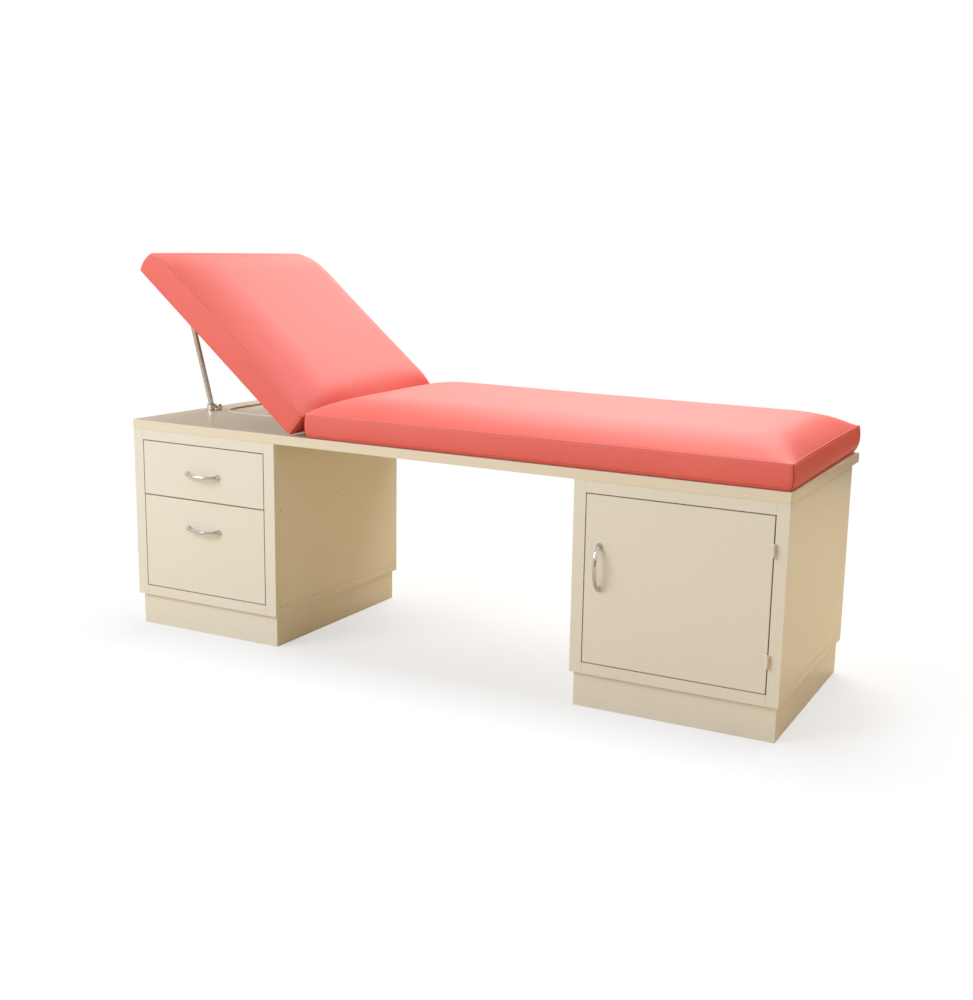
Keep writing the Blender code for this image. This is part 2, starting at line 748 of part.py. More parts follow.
def cushion(name, low, high, foot, side, crown, end_bow, roll, corner_drop=(0.0, 0.0), **settings):
    """A crowned pad. Its sides draw in towards their middles, and its end edges bow up less than it does.

    A high roll keeps the top full until close to the seam. An end's corners may lie below the long seams.
    """
    columns, rows = 30, 14
    middle = ((low[0] + high[0]) / 2, (low[1] + high[1]) / 2)
    half = ((high[0] - low[0]) / 2, (high[1] - low[1]) / 2)

    def plan(s, t, by, draw):
        reach = (half[0] - draw * (1 - t * t) + by, half[1] - draw * (1 - s * s) + by)
        return middle[0] + s * reach[0], middle[1] + t * reach[1]

    def height(s, t):
        end = int(s > 0)
        near_end = abs(s) ** roll["ends"][end]
        seam = side - corner_drop[end] * near_end
        ridge = crown + (end_bow[end] - crown) * near_end
        return seam + ridge * (1 - abs(t) ** roll["side"])

    def station(step, count):
        """Places from -1 to 1 that lie closer together towards the ends."""
        return math.sin(math.pi / 2 * (2 * step / count - 1))

    def shape(mesh):
        across = [station(i, columns) for i in range(columns + 1)]
        along = [station(j, rows) for j in range(rows + 1)]

        def point(i, j, share, by):
            s, t = across[i], along[j]
            place = plan(s, t, by, PAD_DRAW_IN * share)
            return mesh.verts.new((*place, foot + share * height(s, t)))

        top = [[point(i, j, 1.0, 0.0) for j in range(rows + 1)] for i in range(columns + 1)]
        for i in range(columns):
            for j in range(rows):
                mesh.faces.new((top[i][j], top[i + 1][j], top[i + 1][j + 1], top[i][j + 1]))
        edge = [(i, 0) for i in range(columns)] + [(columns, j) for j in range(rows)]
        edge += [(i, rows) for i in range(columns, 0, -1)] + [(0, j) for j in range(rows, 0, -1)]
        loops = [[top[i][j] for i, j in edge]]
        for share, by in ((0.7, PAD_BULGE), (0.35, PAD_BULGE), (0.0, 0.0)):
            loops.append([point(i, j, share, by) for i, j in edge])
        for upper, lower in zip(loops, loops[1:]):
            for i in range(len(upper)):
                j = (i + 1) % len(upper)
                mesh.faces.new((upper[i], upper[j], lower[j], lower[i]))
        mesh.faces.new(loops[-1])

    return piece(name, VINYL, shape, smooth_deg=40, **settings)


def make_seat():
    low = (LEFT_END + SEAT_LEFT, PAD_FRONT)
    high = (RIGHT_END - SEAT_SETBACK_RIGHT, PAD_BACK)
    foot = DECK_HEIGHT + SEAT_GAP
    pad_foot = foot + SEAT_BOARD + SEAT_GAP
    lofted(
        "seat_board",
        VINYL,
        [
            at(grown(low, high, -BOARD_EASE), "Z", foot),
            at(grown(low, high, 0.0), "Z", foot + BOARD_EASE),
            at(grown(low, high, 0.0), "Z", foot + SEAT_BOARD),
        ],
    )
    side = DECK_HEIGHT + SEAT_SEAM - pad_foot
    cushion("seat_pad", low, high, pad_foot, side, SEAT_CROWN, SEAT_END_BOW, SEAT_ROLL)


# Backrest, in the frame of its own hinge axis: lying flat, with the axis along Y through the origin

def make_backrest(prop):
    pivot = Vector((LEFT_END + PIVOT_LEFT, 0.0, DECK_HEIGHT + PIVOT_HEIGHT))
    empty = joint_empty("backrest_axis", pivot, Matrix.Rotation(TILT, 4, "Y"))
    settings = {"parent": empty, "in_place": False}
    near, far = PIVOT_INSET, PIVOT_INSET - BACKREST_LENGTH
    foot = BACKREST_UNDERSIDE
    top = foot + RAIL_DEPTH
    inside = (PAD_FRONT + BACKREST_RAIL + SEAT_GAP, PAD_BACK - BACKREST_RAIL - SEAT_GAP)

    def section(outer, inner):
        """A rail's section from its outer to its inner face, with the outer lower edge eased."""
        ease = BOARD_EASE if inner > outer else -BOARD_EASE
        return [
            (outer, top),
            (outer, foot + BOARD_EASE),
            (outer + ease, foot),
            (inner, foot),
            (inner, top),
        ]

    front = section(PAD_FRONT, PAD_FRONT + BACKREST_RAIL)
    rear = section(PAD_BACK, PAD_BACK - BACKREST_RAIL)
    prism("backrest_front_rail", VINYL, front, "X", far, near, **settings)
    prism("backrest_rear_rail", VINYL, rear, "X", far, near, **settings)
    prism("backrest_head_rail", VINYL, section(far, far + BACKREST_HEAD_RAIL), "Y", *inside, **settings)
    foot_section = section(near, near - BACKREST_RAIL)
    foot_rail = prism("backrest_foot_rail", VINYL, foot_section, "Y", *inside, **settings)
    panel_foot = foot + BACKREST_HOLLOW
    panel_far = far + BACKREST_HEAD_RAIL + SEAT_GAP
    panel_near = near - BACKREST_RAIL - SEAT_GAP
    panel = rectangle((panel_far, inside[0]), (panel_near, inside[1]))
    prism("backrest_panel", PLYWOOD, panel, "Z", panel_foot, top, **settings)
    cushion(
        "backrest_pad",
        (far, PAD_FRONT),
        (near, PAD_BACK),
        top + SEAT_GAP,
        BACKREST_SEAM - RAIL_DEPTH - SEAT_GAP,
        BACKREST_CROWN,
        BACKREST_END_BOW,
        BACKREST_ROLL,
        BACKREST_CORNER_DROP,
        **settings,
    )
    for place, centre in (("front", PAD_FRONT + HINGE_INSET), ("rear", PAD_BACK - HINGE_INSET)):
        back = near - HINGE_NOTCH_DEPTH
        beyond = near + HINGE_NOTCH_DEPTH
        outline = rectangle((back, centre - HINGE_NOTCH / 2), (beyond, centre + HINGE_NOTCH / 2))
        notch = prism(f"foot_rail_{place}_notch", None, outline, "Z", foot - RAIL_DEPTH, top + RAIL_DEPTH)
        helper(notch, foot_rail, "DIFFERENCE")
        make_backrest_hinge(f"backrest_{place}_hinge", pivot, centre, back + SEAT_GAP, top, settings)

    # The block that the prop's round end bears on, its face square to the prop
    bearing = prop.tip + prop.along_flat * (PROP_RADIUS + RUN_GAP)
    outline = rectangle(
        (panel_far, bearing.y - PROP_SEAT_HALF_WIDTH),
        (bearing.x + PROP_SEAT_NEAR, bearing.y + PROP_SEAT_HALF_WIDTH),
    )

    def wedge(mesh):
        loft(mesh, [at(outline, "Z", foot + PROP_SEAT_LIFT), at(outline, "Z", panel_foot - SEAT_GAP)])
        every = mesh.verts[:] + mesh.edges[:] + mesh.faces[:]
        cut = bmesh.ops.bisect_plane(
            mesh, geom=every, plane_co=bearing, plane_no=-prop.along_flat, clear_outer=True
        )
        rim = [part for part in cut["geom_cut"] if isinstance(part, bmesh.types.BMEdge)]
        bmesh.ops.contextual_create(mesh, geom=rim)

    piece("prop_seat_block", PLYWOOD, wedge, **settings)


def make_backrest_hinge(name, pivot, centre, back, top, settings):
    """A bracket that stands on the deck, a lug in the notch of the backrest's foot rail, and their pin."""
    half = HINGE_WIDTH / 2
    sixth = HINGE_WIDTH / 6
    bore = HINGE_PIN + SEAT_GAP
    foot = SEAT_GAP - PIVOT_HEIGHT
    shift = Matrix.Translation((pivot.x, 0.0, pivot.z))

    def part(label, outline, low, high, target=None, operation=None):
        """A prism along Y about the hinge's middle, moved to the table's frame if the bracket takes it."""
        shape = prism(label, None, outline, "Y", centre + low, centre + high)
        if target.parent is None:
            shape.data.transform(shift)
        helper(shape, target, operation)

    arm_top = -HINGE_BARREL / 4
    start = HINGE_ARM - HINGE_PLATE
    outline = [
        (start, foot),
        (HINGE_FOOT, foot),
        (HINGE_FOOT, foot + HINGE_PLATE),
        (HINGE_ARM, foot + HINGE_PLATE),
        (HINGE_ARM, arm_top),
        (0.0, arm_top),
        (0.0, arm_top - HINGE_PLATE),
        (start, arm_top - HINGE_PLATE),
    ]
    bracket = prism(f"{name}_bracket", ZINC, outline, "Y", centre - half, centre + half)
    bracket.data.transform(shift)
    clear = sixth + RUN_GAP
    gap = rectangle((-start, -2 * HINGE_BARREL), (start - RUN_GAP, 2 * HINGE_BARREL))
    part(f"{name}_gap", gap, -clear, clear, bracket, "DIFFERENCE")
    barrel = circle(HINGE_BARREL, SMALL_SIDES)
    part(f"{name}_near_knuckle", barrel, -half, -clear, bracket, "UNION")
    part(f"{name}_far_knuckle", barrel, clear, half, bracket, "UNION")
    part(f"{name}_bracket_bore", circle(bore, SMALL_SIDES), -2 * half, 2 * half, bracket, "DIFFERENCE")

    plate_top = top - 2 * SEAT_GAP
    plate = rectangle((back, plate_top - HINGE_LUG_HEIGHT), (back + HINGE_PLATE * 0.8, plate_top))
    lug_half = HINGE_LUG_WIDTH / 2
    lug = prism(f"{name}_lug", ZINC, plate, "Y", centre - lug_half, centre + lug_half, **settings)
    neck = rectangle((back + HINGE_PLATE * 0.4, -HINGE_BARREL * 0.8), (0.0, HINGE_BARREL * 0.8))
    part(f"{name}_neck", neck, -sixth, sixth, lug, "UNION")
    part(f"{name}_middle_knuckle", barrel, -sixth, sixth, lug, "UNION")
    part(f"{name}_lug_bore", circle(bore, SMALL_SIDES), -2 * half, 2 * half, lug, "DIFFERENCE")

    head_start = centre + half + SEAT_GAP
    head = HINGE_PIN
    pin = lofted(
        f"{name}_pin",
        ZINC,
        [
            at(circle(HINGE_PIN, SMALL_SIDES), "Y", centre - half),
            at(circle(HINGE_PIN, SMALL_SIDES), "Y", head_start),
            at(circle(HINGE_BARREL * 0.8, SMALL_SIDES), "Y", head_start),
            at(circle(HINGE_BARREL * 0.6, SMALL_SIDES), "Y", head_start + head),
        ],
        smooth_deg=40,
    )
    pin.data.transform(shift)


# Prop

class Prop:
    """Where the prop runs: from the deck, through its collar, to its round end under the backrest."""

    def __init__(self):
        self.bore = PROP_RADIUS + PROP_BORE_CLEARANCE
        self.tip = Vector((PIVOT_INSET - PROP_TOP_ALONG, DECK_FRONT + PROP_TOP_FRONT, BACKREST_UNDERSIDE))
        pivot = Vector((LEFT_END + PIVOT_LEFT, 0.0, DECK_HEIGHT + PIVOT_HEIGHT))
        tilt = Matrix.Rotation(TILT, 4, "Y")
        self.end = pivot + tilt @ self.tip
        self.foot = Vector((LEFT_END + PROP_FOOT_LEFT, DECK_FRONT + PROP_FOOT_FRONT, DECK_HEIGHT))
        self.along = (self.end - self.foot).normalized()
        self.along_flat = tilt.inverted() @ self.along
        self.turn = self.along.to_track_quat("Z", "Y").to_matrix().to_4x4()
        self.at_deck = Matrix.Translation(self.foot) @ self.turn
        self.reach = (self.end - self.foot).length

    def at_height(self, level):
        """The point of the prop's axis at a height above the floor."""
        return self.foot + self.along * ((level - DECK_HEIGHT) / self.along.z)


def make_prop(prop):
    empty = joint_empty("prop_axis", prop.end, prop.turn)
    quarter = 5
    loops = [at(circle(PROP_RADIUS), "Z", -prop.reach - PROP_BELOW_DECK), at(circle(PROP_RADIUS), "Z", 0.0)]
    for step in range(1, quarter):
        angle = math.pi / 2 * step / quarter
        loops.append(at(circle(PROP_RADIUS * math.cos(angle)), "Z", PROP_RADIUS * math.sin(angle)))
    lofted("prop_rod", CHROME, loops, parent=empty, in_place=False, smooth_deg=40)

    def bored(target):
        outline = circle(prop.bore)
        hole = prism(f"{target.name}_bore", None, outline, "Z", -2 * GUIDE_LENGTH, 3 * COLLAR_HEIGHT)
        hole.matrix_world = prop.at_deck
        helper(hole, target, "DIFFERENCE")

    base = DECK_HEIGHT + SEAT_GAP
    top = base + COLLAR_HEIGHT
    middle = prop.at_height((base + top) / 2)
    centre = (middle.x, middle.y)
    ease = COLLAR_FLANGE / 3
    collar = lofted(
        "prop_collar",
        CHROME,
        [
            at(circle(COLLAR_FLANGE_RADIUS, centre=centre), "Z", base),
            at(circle(COLLAR_FLANGE_RADIUS, centre=centre), "Z", base + COLLAR_FLANGE - ease),
            at(circle(COLLAR_FLANGE_RADIUS - ease, centre=centre), "Z", base + COLLAR_FLANGE),
            at(circle(COLLAR_RADIUS, centre=centre), "Z", base + COLLAR_FLANGE + ease),
            at(circle(COLLAR_RADIUS, centre=centre), "Z", top - ease),
            at(circle(COLLAR_RADIUS - ease, centre=centre), "Z", top),
        ],
        smooth_deg=40,
    )
    bored(collar)

    # The clamp knob screws through the collar's side, along the X axis of its own frame
    bearing = Matrix.Rotation(math.radians(KNOB_BEARING_DEG), 4, "Z")
    knob_axis = joint_empty("clamp_knob_axis", middle, bearing)
    start = COLLAR_FLANGE_RADIUS + KNOB_STANDOFF
    stem_outline = circle(KNOB_STEM_RADIUS + SEAT_GAP, 24)
    stem_hole = prism("collar_stem_bore", None, stem_outline, "X", 0.0, start)
    stem_hole.matrix_world = knob_axis.matrix_world
    helper(stem_hole, collar, "DIFFERENCE")
    fluted = circle(KNOB_RADIUS, 24, flute=KNOB_FLUTE)
    lofted(
        "clamp_knob",
        CHROME,
        [
            at(circle(KNOB_STEM_RADIUS, 24), "X", prop.bore + RUN_GAP),
            at(circle(KNOB_STEM_RADIUS, 24), "X", start),
            at(circle(KNOB_RADIUS * 0.8, 24), "X", start),
            at(fluted, "X", start + KNOB_THICKNESS * 0.2),
            at(fluted, "X", start + KNOB_THICKNESS * 0.75),
            at(circle(KNOB_RADIUS * 0.8, 24), "X", start + KNOB_THICKNESS),
        ],
        parent=knob_axis,
        in_place=False,
        smooth_deg=35,
    )

    # The guide under the deck: a flange against the sheet, a tube along the prop, and the stop ring below it
    guide_top = DECK_UNDERSIDE - SEAT_GAP
    under = prop.at_height(guide_top - GUIDE_FLANGE / 2)
    flange = circle(GUIDE_FLANGE_RADIUS, centre=(under.x, under.y))
    guide = prism("prop_guide_tube", ZINC, flange, "Z", guide_top - GUIDE_FLANGE, guide_top)
    lower_end = GUIDE_LENGTH + DECK_SHEET
    tube = prism("guide_tube_body", None, circle(GUIDE_RADIUS), "Z", -lower_end, 0.0)
    tube.matrix_world = prop.at_deck
    helper(tube, guide, "UNION")
    over = circle(2 * GUIDE_FLANGE_RADIUS, centre=(under.x, under.y))
    above = prism("guide_tube_top", None, over, "Z", guide_top, guide_top + GUIDE_LENGTH)
    helper(above, guide, "DIFFERENCE")
    bored(guide)
    stop_top = -prop.reach - lower_end - RUN_GAP
    outer, inner = circle(STOP_RADIUS), circle(PROP_RADIUS + SEAT_GAP)
    stop_foot = stop_top - STOP_THICKNESS
    lofted(
        "prop_stop_ring",
        ZINC,
        [
            at(outer, "Z", stop_foot),
            at(outer, "Z", stop_top),
            at(inner, "Z", stop_top),
            at(inner, "Z", stop_foot),
        ],
        ring=True,
        parent=empty,
        in_place=False,
    )


def main():
    clear_scene()
    prop = Prop()
    make_deck(ENAMEL, prop)
    make_pedestal("left", ENAMEL, LEFT_CASE, DRAWER_OPENING)
    make_pedestal("right", ENAMEL, RIGHT_CASE, DOOR_OPENING)
    make_drawers()
    make_door()
    make_shelf()
    make_seat()
    make_backrest(prop)
    make_prop(prop)


main()
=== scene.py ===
"""Looks of the examination table: coral vinyl pads, cream enamel, bright metal and a plain white stage."""

import json
import math

import bmesh
import bpy
from bpy.props import FloatProperty, FloatVectorProperty, IntProperty, IntVectorProperty, PointerProperty
from bpy.types import Operator, Panel, PropertyGroup
from mathutils import Matrix, Vector

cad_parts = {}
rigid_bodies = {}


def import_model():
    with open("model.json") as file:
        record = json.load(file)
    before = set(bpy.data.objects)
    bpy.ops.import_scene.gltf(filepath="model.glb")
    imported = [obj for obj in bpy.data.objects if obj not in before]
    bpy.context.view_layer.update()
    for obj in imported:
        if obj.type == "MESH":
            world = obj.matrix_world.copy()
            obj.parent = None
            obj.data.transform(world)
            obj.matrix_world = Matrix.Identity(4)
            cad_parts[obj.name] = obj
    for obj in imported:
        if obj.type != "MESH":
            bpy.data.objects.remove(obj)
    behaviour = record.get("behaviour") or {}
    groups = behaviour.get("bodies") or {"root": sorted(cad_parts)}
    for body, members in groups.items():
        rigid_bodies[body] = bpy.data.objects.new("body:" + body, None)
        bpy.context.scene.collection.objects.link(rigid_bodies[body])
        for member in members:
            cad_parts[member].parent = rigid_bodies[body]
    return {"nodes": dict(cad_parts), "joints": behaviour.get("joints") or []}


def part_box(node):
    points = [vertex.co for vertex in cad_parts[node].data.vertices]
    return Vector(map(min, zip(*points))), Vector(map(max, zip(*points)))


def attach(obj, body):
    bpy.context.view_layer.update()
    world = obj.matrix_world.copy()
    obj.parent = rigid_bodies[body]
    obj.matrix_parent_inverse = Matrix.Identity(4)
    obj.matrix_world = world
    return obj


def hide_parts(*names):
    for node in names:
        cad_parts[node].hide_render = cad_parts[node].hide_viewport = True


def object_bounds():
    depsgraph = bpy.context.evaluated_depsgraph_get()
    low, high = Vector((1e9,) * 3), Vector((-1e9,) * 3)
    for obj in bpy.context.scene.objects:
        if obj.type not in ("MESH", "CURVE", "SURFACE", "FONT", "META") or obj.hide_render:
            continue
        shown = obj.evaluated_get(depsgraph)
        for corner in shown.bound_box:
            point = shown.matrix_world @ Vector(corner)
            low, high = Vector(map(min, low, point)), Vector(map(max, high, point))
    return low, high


bl_info = {
    "name": "Examination Table Looks",
    "version": (1, 0, 0),
    "blender": (4, 5, 0),
    "location": "3D View > Sidebar > Exam Table",
    "description": "Upholsters the packed examination table and gives it enamel and bright metal",
    "category": "Object",
}

for leftover in list(bpy.data.objects):
    bpy.data.objects.remove(leftover)
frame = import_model()
CAD_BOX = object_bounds()
NODES = frame["nodes"]
JOINTS = {joint["name"]: joint for joint in frame["joints"]}
SLOT_OF = {name: node.data.materials[0].name for name, node in NODES.items()}

# The side of a pad has these rings, as shares of its height. These of them are sewn.
RING_SHARES = (0.0, 0.11, 0.34, 0.60, 0.82, 0.93, 1.0)
HEM_RING, STITCH_RING, SEAM_RING = 1, 5, 6
# How firmly each ring is held while the pad settles
HELD_RINGS = (1.0, 1.0, 0.75, 0.6, 0.75, 0.9, 0.95)
# A vertex whose place in the plan, from -1 to 1, is past this lies on the rim
RIM_PLACE = 1 - 1e-4
# Share of the height up to which a cover is drawn under, all round and at the seat's right end,
# and the power by which that end's tuck grows towards the rear
TUCK_SHARE = 0.15
REAR_TUCK_SHARE = 0.45
REAR_TUCK_GROWTH = 1.3
# How far the sides of a pad draw in between its corners, where it gives nothing else
DRAW = {"sides": 0.0025, "left": 0.0025, "right": 0.0025}
# Angle up to which a pad is shaded smooth
SMOOTH_ANGLE = math.radians(38.0)
# Thickness of a corner's seam, as a share of the top seam's
CORNER_SEAM = 0.8
# How far the seat's cover passes its board at the left
SEAT_OVERHANG = 0.001

# The backrest's cover hangs down outside its rails: its hem stays above their underside,
# its wall is thinner than the room outside them, and its hollow takes them and the panel
HEM_LIFT = 0.0015
WALL_SPARE = 0.0004
HOLLOW_DEPTH = 0.0352

# Room for a hinge in that cover: how far its middle lies past the foot end and over the hem, and its size
NOTCH_PAST = 0.006
NOTCH_OVER = 0.0165
NOTCH_DEPTH = 0.020
NOTCH_HEIGHT = 0.036
NOTCH_SPARE = 0.006

# Rust spots on the knee-space side of the left pedestal: where they are, and their radius
RUST_MARKS = (
    ((-0.446, -0.2679, 0.4752), 0.0022),
    ((-0.446, -0.2766, 0.3644), 0.0028),
    ((-0.446, -0.2750, 0.3720), 0.0016),
    ((-0.446, -0.2800, 0.1096), 0.0020),
    ((-0.446, -0.0312, 0.3753), 0.0018),
)

# Outline of the well in the deck, and its corners' radius
WELL = ((-0.8575, -0.03985), (-0.5845, 0.25815))
WELL_CORNER = 0.095

# A face frame is welded beside its opening, over the opening's top and under its foot
FRAME_OPENINGS = {"left": (-0.8805, -0.4785), "right": (0.4335, 0.8825)}
OPENING_TOP = 0.517
OPENING_FOOT = 0.112
WELD_WIDTH = 0.0007
# A case has a joint along its foot, behind the face frame
CASE_JOINT = 0.106
CASE_FRONT = -0.28
CASE_JOINT_WIDTH = 0.0009
# Length over which such a line ends, and width of the painted shade in the gaps round the drawers and the
# door
LINE_END = 0.002
RIM_SHADE = 0.0018

# Lamps: where they stand, what they point at, their width and height, and their colour
LAMPS = {
    "key": ((-2.6, -3.4, 2.4), (0.0, -0.1, 0.40), (2.4, 2.4), (0.86, 0.92, 1.0)),
    "warm": ((3.6, -1.2, 1.5), (0.9, 0.0, 0.35), (2.0, 2.0), (1.0, 0.86, 0.68)),
    "back": ((-1.0, 2.8, 2.45), (0.0, 0.0, 0.66), (3.0, 2.2), (1.0, 0.98, 0.96)),
    "top": ((0.5, 1.3, 3.0), (0.0, 0.0, 0.6), (3.6, 2.2), (1.0, 0.985, 0.97)),
}
# The floor's radius, its colour in shadow, how far from the table the shadow begins to fade,
# and how much of the white floor shows in metal
FLOOR_RADIUS = 3.4
SHADE_COLOUR = (0.78, 0.78, 0.785)
SHADE_START = 0.05
MIRRORED_FLOOR = 0.2
WHITE = (1.0, 1.0, 1.0)
# Where the room is brightest, and its colours on the dim and the bright side
BRIGHT_SIDE = (-0.70, -0.55, 0.45)
ROOM_WARM = (1.0, 0.72, 0.46)
ROOM_COOL = (0.97, 0.99, 1.0)


# Settings

class PadSettings(PropertyGroup):
    """Sizes and colours of the vinyl pads."""

    cell: FloatProperty(
        name="Cell", description="Mesh spacing of a pad before it settles", default=0.010, unit="LENGTH"
    )
    seat_seam: FloatProperty(
        name="Seat seam", description="Height of the seat's side at its corners",
        default=0.060, unit="LENGTH",
    )
    seat_crown: FloatProperty(
        name="Seat crown", description="Rise of the seat's middle over its seam",
        default=0.041, unit="LENGTH",
    )
    seat_end_bow: FloatVectorProperty(
        name="Seat end bow", description="Rise of the seat's left and right end edges",
        size=2, default=(0.020, 0.001), unit="LENGTH",
    )
    seat_rear_lift: FloatProperty(
        name="Seat rear lift", description="How much higher the rear seam is than the front one",
        default=0.007, unit="LENGTH",
    )
    seat_roll: IntVectorProperty(
        name="Seat roll", description="How late the seat falls to its front, rear, left and right edges",
        size=4, default=(8, 8, 12, 26),
    )
    back_seam: FloatProperty(
        name="Backrest seam", description="Depth of the backrest's side", default=0.0685, unit="LENGTH"
    )
    back_crown: FloatProperty(
        name="Backrest crown", description="Rise of the backrest's middle", default=0.033, unit="LENGTH"
    )
    back_end_bow: FloatVectorProperty(
        name="Backrest end bow", description="Rise of the backrest's head and foot edges",
        size=2, default=(0.003, 0.019), unit="LENGTH",
    )
    back_corner_drop: FloatVectorProperty(
        name="Backrest corner drop", description="How far its seam falls to the head and foot corners",
        size=2, default=(0.009, 0.004), unit="LENGTH",
    )
    back_rear_lift: FloatProperty(
        name="Backrest rear lift", description="How much higher the rear seam is than the front one",
        default=0.011, unit="LENGTH",
    )
    back_roll: IntVectorProperty(
        name="Backrest roll", description="How late it falls to its front, rear, head and foot edges",
        size=4, default=(6, 24, 9, 30),
    )
    back_length: FloatProperty(
        name="Backrest length", description="Length of the backrest's frame", default=0.614, unit="LENGTH"
    )
    back_underside: FloatProperty(
        name="Backrest underside", description="From the hinge axis down to it",
        default=0.0261, unit="LENGTH",
    )
    back_inset: FloatProperty(
        name="Hinge inset", description="From the foot end to the hinge axis", default=0.0057, unit="LENGTH"
    )
    cover: FloatProperty(
        name="Cover", description="How far the cover lies outside its rails", default=0.0019, unit="LENGTH"
    )
    easing: IntProperty(name="Easing", description="How often the pad's top is smoothed", default=14)
    pressure: FloatProperty(name="Pressure", description="Filling pressure of the settling", default=4.0)
    settle_steps: IntProperty(name="Settling steps", description="Frames the settling takes", default=20)
    settle_cap: FloatProperty(
        name="Settling cap", description="Most that a point moves while it settles",
        default=0.0045, unit="LENGTH",
    )
    seam_radius: FloatProperty(
        name="Seam radius", description="Half the thickness of the sewn bead", default=0.0011, unit="LENGTH"
    )
    stitch_pitch: FloatProperty(
        name="Stitch pitch", description="From one stitch to the next", default=0.0056, unit="LENGTH"
    )
    stitch_length: FloatProperty(
        name="Stitch length", description="Length of one stitch", default=0.0036, unit="LENGTH"
    )
    stitch_radius: FloatProperty(
        name="Stitch radius", description="Half the thickness of the thread", default=0.0005, unit="LENGTH"
    )
    coral: FloatVectorProperty(
        name="Coral", description="Main colour of the vinyl",
        subtype="COLOR", size=3, default=(0.85, 0.178, 0.148), min=0.0, max=1.0,
    )
    deep_coral: FloatVectorProperty(
        name="Deep coral", description="Vinyl where it has darkened",
        subtype="COLOR", size=3, default=(0.76, 0.126, 0.103), min=0.0, max=1.0,
    )
    # Paler than the vinyl, so that the seams show a painted highlight
    thread: FloatVectorProperty(
        name="Thread", description="Colour of the sewing thread",
        subtype="COLOR", size=3, default=(0.93, 0.36, 0.29), min=0.0, max=1.0,
    )
    # Darker than the vinyl: painted shade along the seat's corner seams and its hem
    shade_dark_thread: FloatVectorProperty(
        name="Dark thread", description="Thread in the seat's corners and its hem",
        subtype="COLOR", size=3, default=(0.36, 0.050, 0.042), min=0.0, max=1.0,
    )


class EnamelSettings(PropertyGroup):
    """Colours and texture of the enamelled steel."""

    cream: FloatVectorProperty(
        name="Cream", description="Main colour of the enamel",
        subtype="COLOR", size=3, default=(0.780, 0.738, 0.650), min=0.0, max=1.0,
    )
    # Browner than the rest: partly yellowed enamel, partly a painted reflection of the coral pads
    deck_cream_and_reflection: FloatVectorProperty(
        name="Deck cream", description="Enamel of the deck, which has yellowed more",
        subtype="COLOR", size=3, default=(0.775, 0.686, 0.537), min=0.0, max=1.0,
    )
    aged: FloatVectorProperty(
        name="Aged cream", description="Enamel where it has yellowed",
        subtype="COLOR", size=3, default=(0.745, 0.700, 0.588), min=0.0, max=1.0,
    )
    # Also the colour of the painted shade in the gaps round the drawers and the door, and along the well
    grime_and_shade: FloatVectorProperty(
        name="Grime", description="Dirt in joints and at the floor",
        subtype="COLOR", size=3, default=(0.30, 0.225, 0.120), min=0.0, max=1.0,
    )
    rust: FloatVectorProperty(
        name="Rust", description="Steel where the enamel is chipped",
        subtype="COLOR", size=3, default=(0.16, 0.070, 0.028), min=0.0, max=1.0,
    )
    # Width of the painted shade along the well's outline
    well_shade_line: FloatProperty(
        name="Well line", description="Width of the dirt along the well", default=0.0034, unit="LENGTH"
    )
    well_bead: FloatProperty(
        name="Well bead", description="Half the thickness of the well's rolled rim",
        default=0.0014, unit="LENGTH",
    )
    gloss: FloatProperty(
        name="Roughness", description="Roughness of sound enamel",
        default=0.21, min=0.0, max=1.0, subtype="FACTOR",
    )


class MetalSettings(PropertyGroup):
    """Colours of the bright metal and the plywood."""

    chrome: FloatVectorProperty(
        name="Chrome", description="Plated pulls, collar and knob",
        subtype="COLOR", size=3, default=(0.66, 0.635, 0.60), min=0.0, max=1.0,
    )
    # Darker than the pulls: partly its own plating, partly a painted reflection of dark surroundings
    rod: FloatVectorProperty(
        name="Rod", description="Plated rod of the prop",
        subtype="COLOR", size=3, default=(0.60, 0.60, 0.62), min=0.0, max=1.0,
    )
    zinc: FloatVectorProperty(
        name="Zinc", description="Plated hinges and rails",
        subtype="COLOR", size=3, default=(0.50, 0.50, 0.48), min=0.0, max=1.0,
    )
    wood: FloatVectorProperty(
        name="Plywood", description="Pale grain of the plywood",
        subtype="COLOR", size=3, default=(0.56, 0.37, 0.19), min=0.0, max=1.0,
    )
    wood_dark: FloatVectorProperty(
        name="Dark grain", description="Dark grain of the plywood",
        subtype="COLOR", size=3, default=(0.33, 0.19, 0.085), min=0.0, max=1.0,
    )


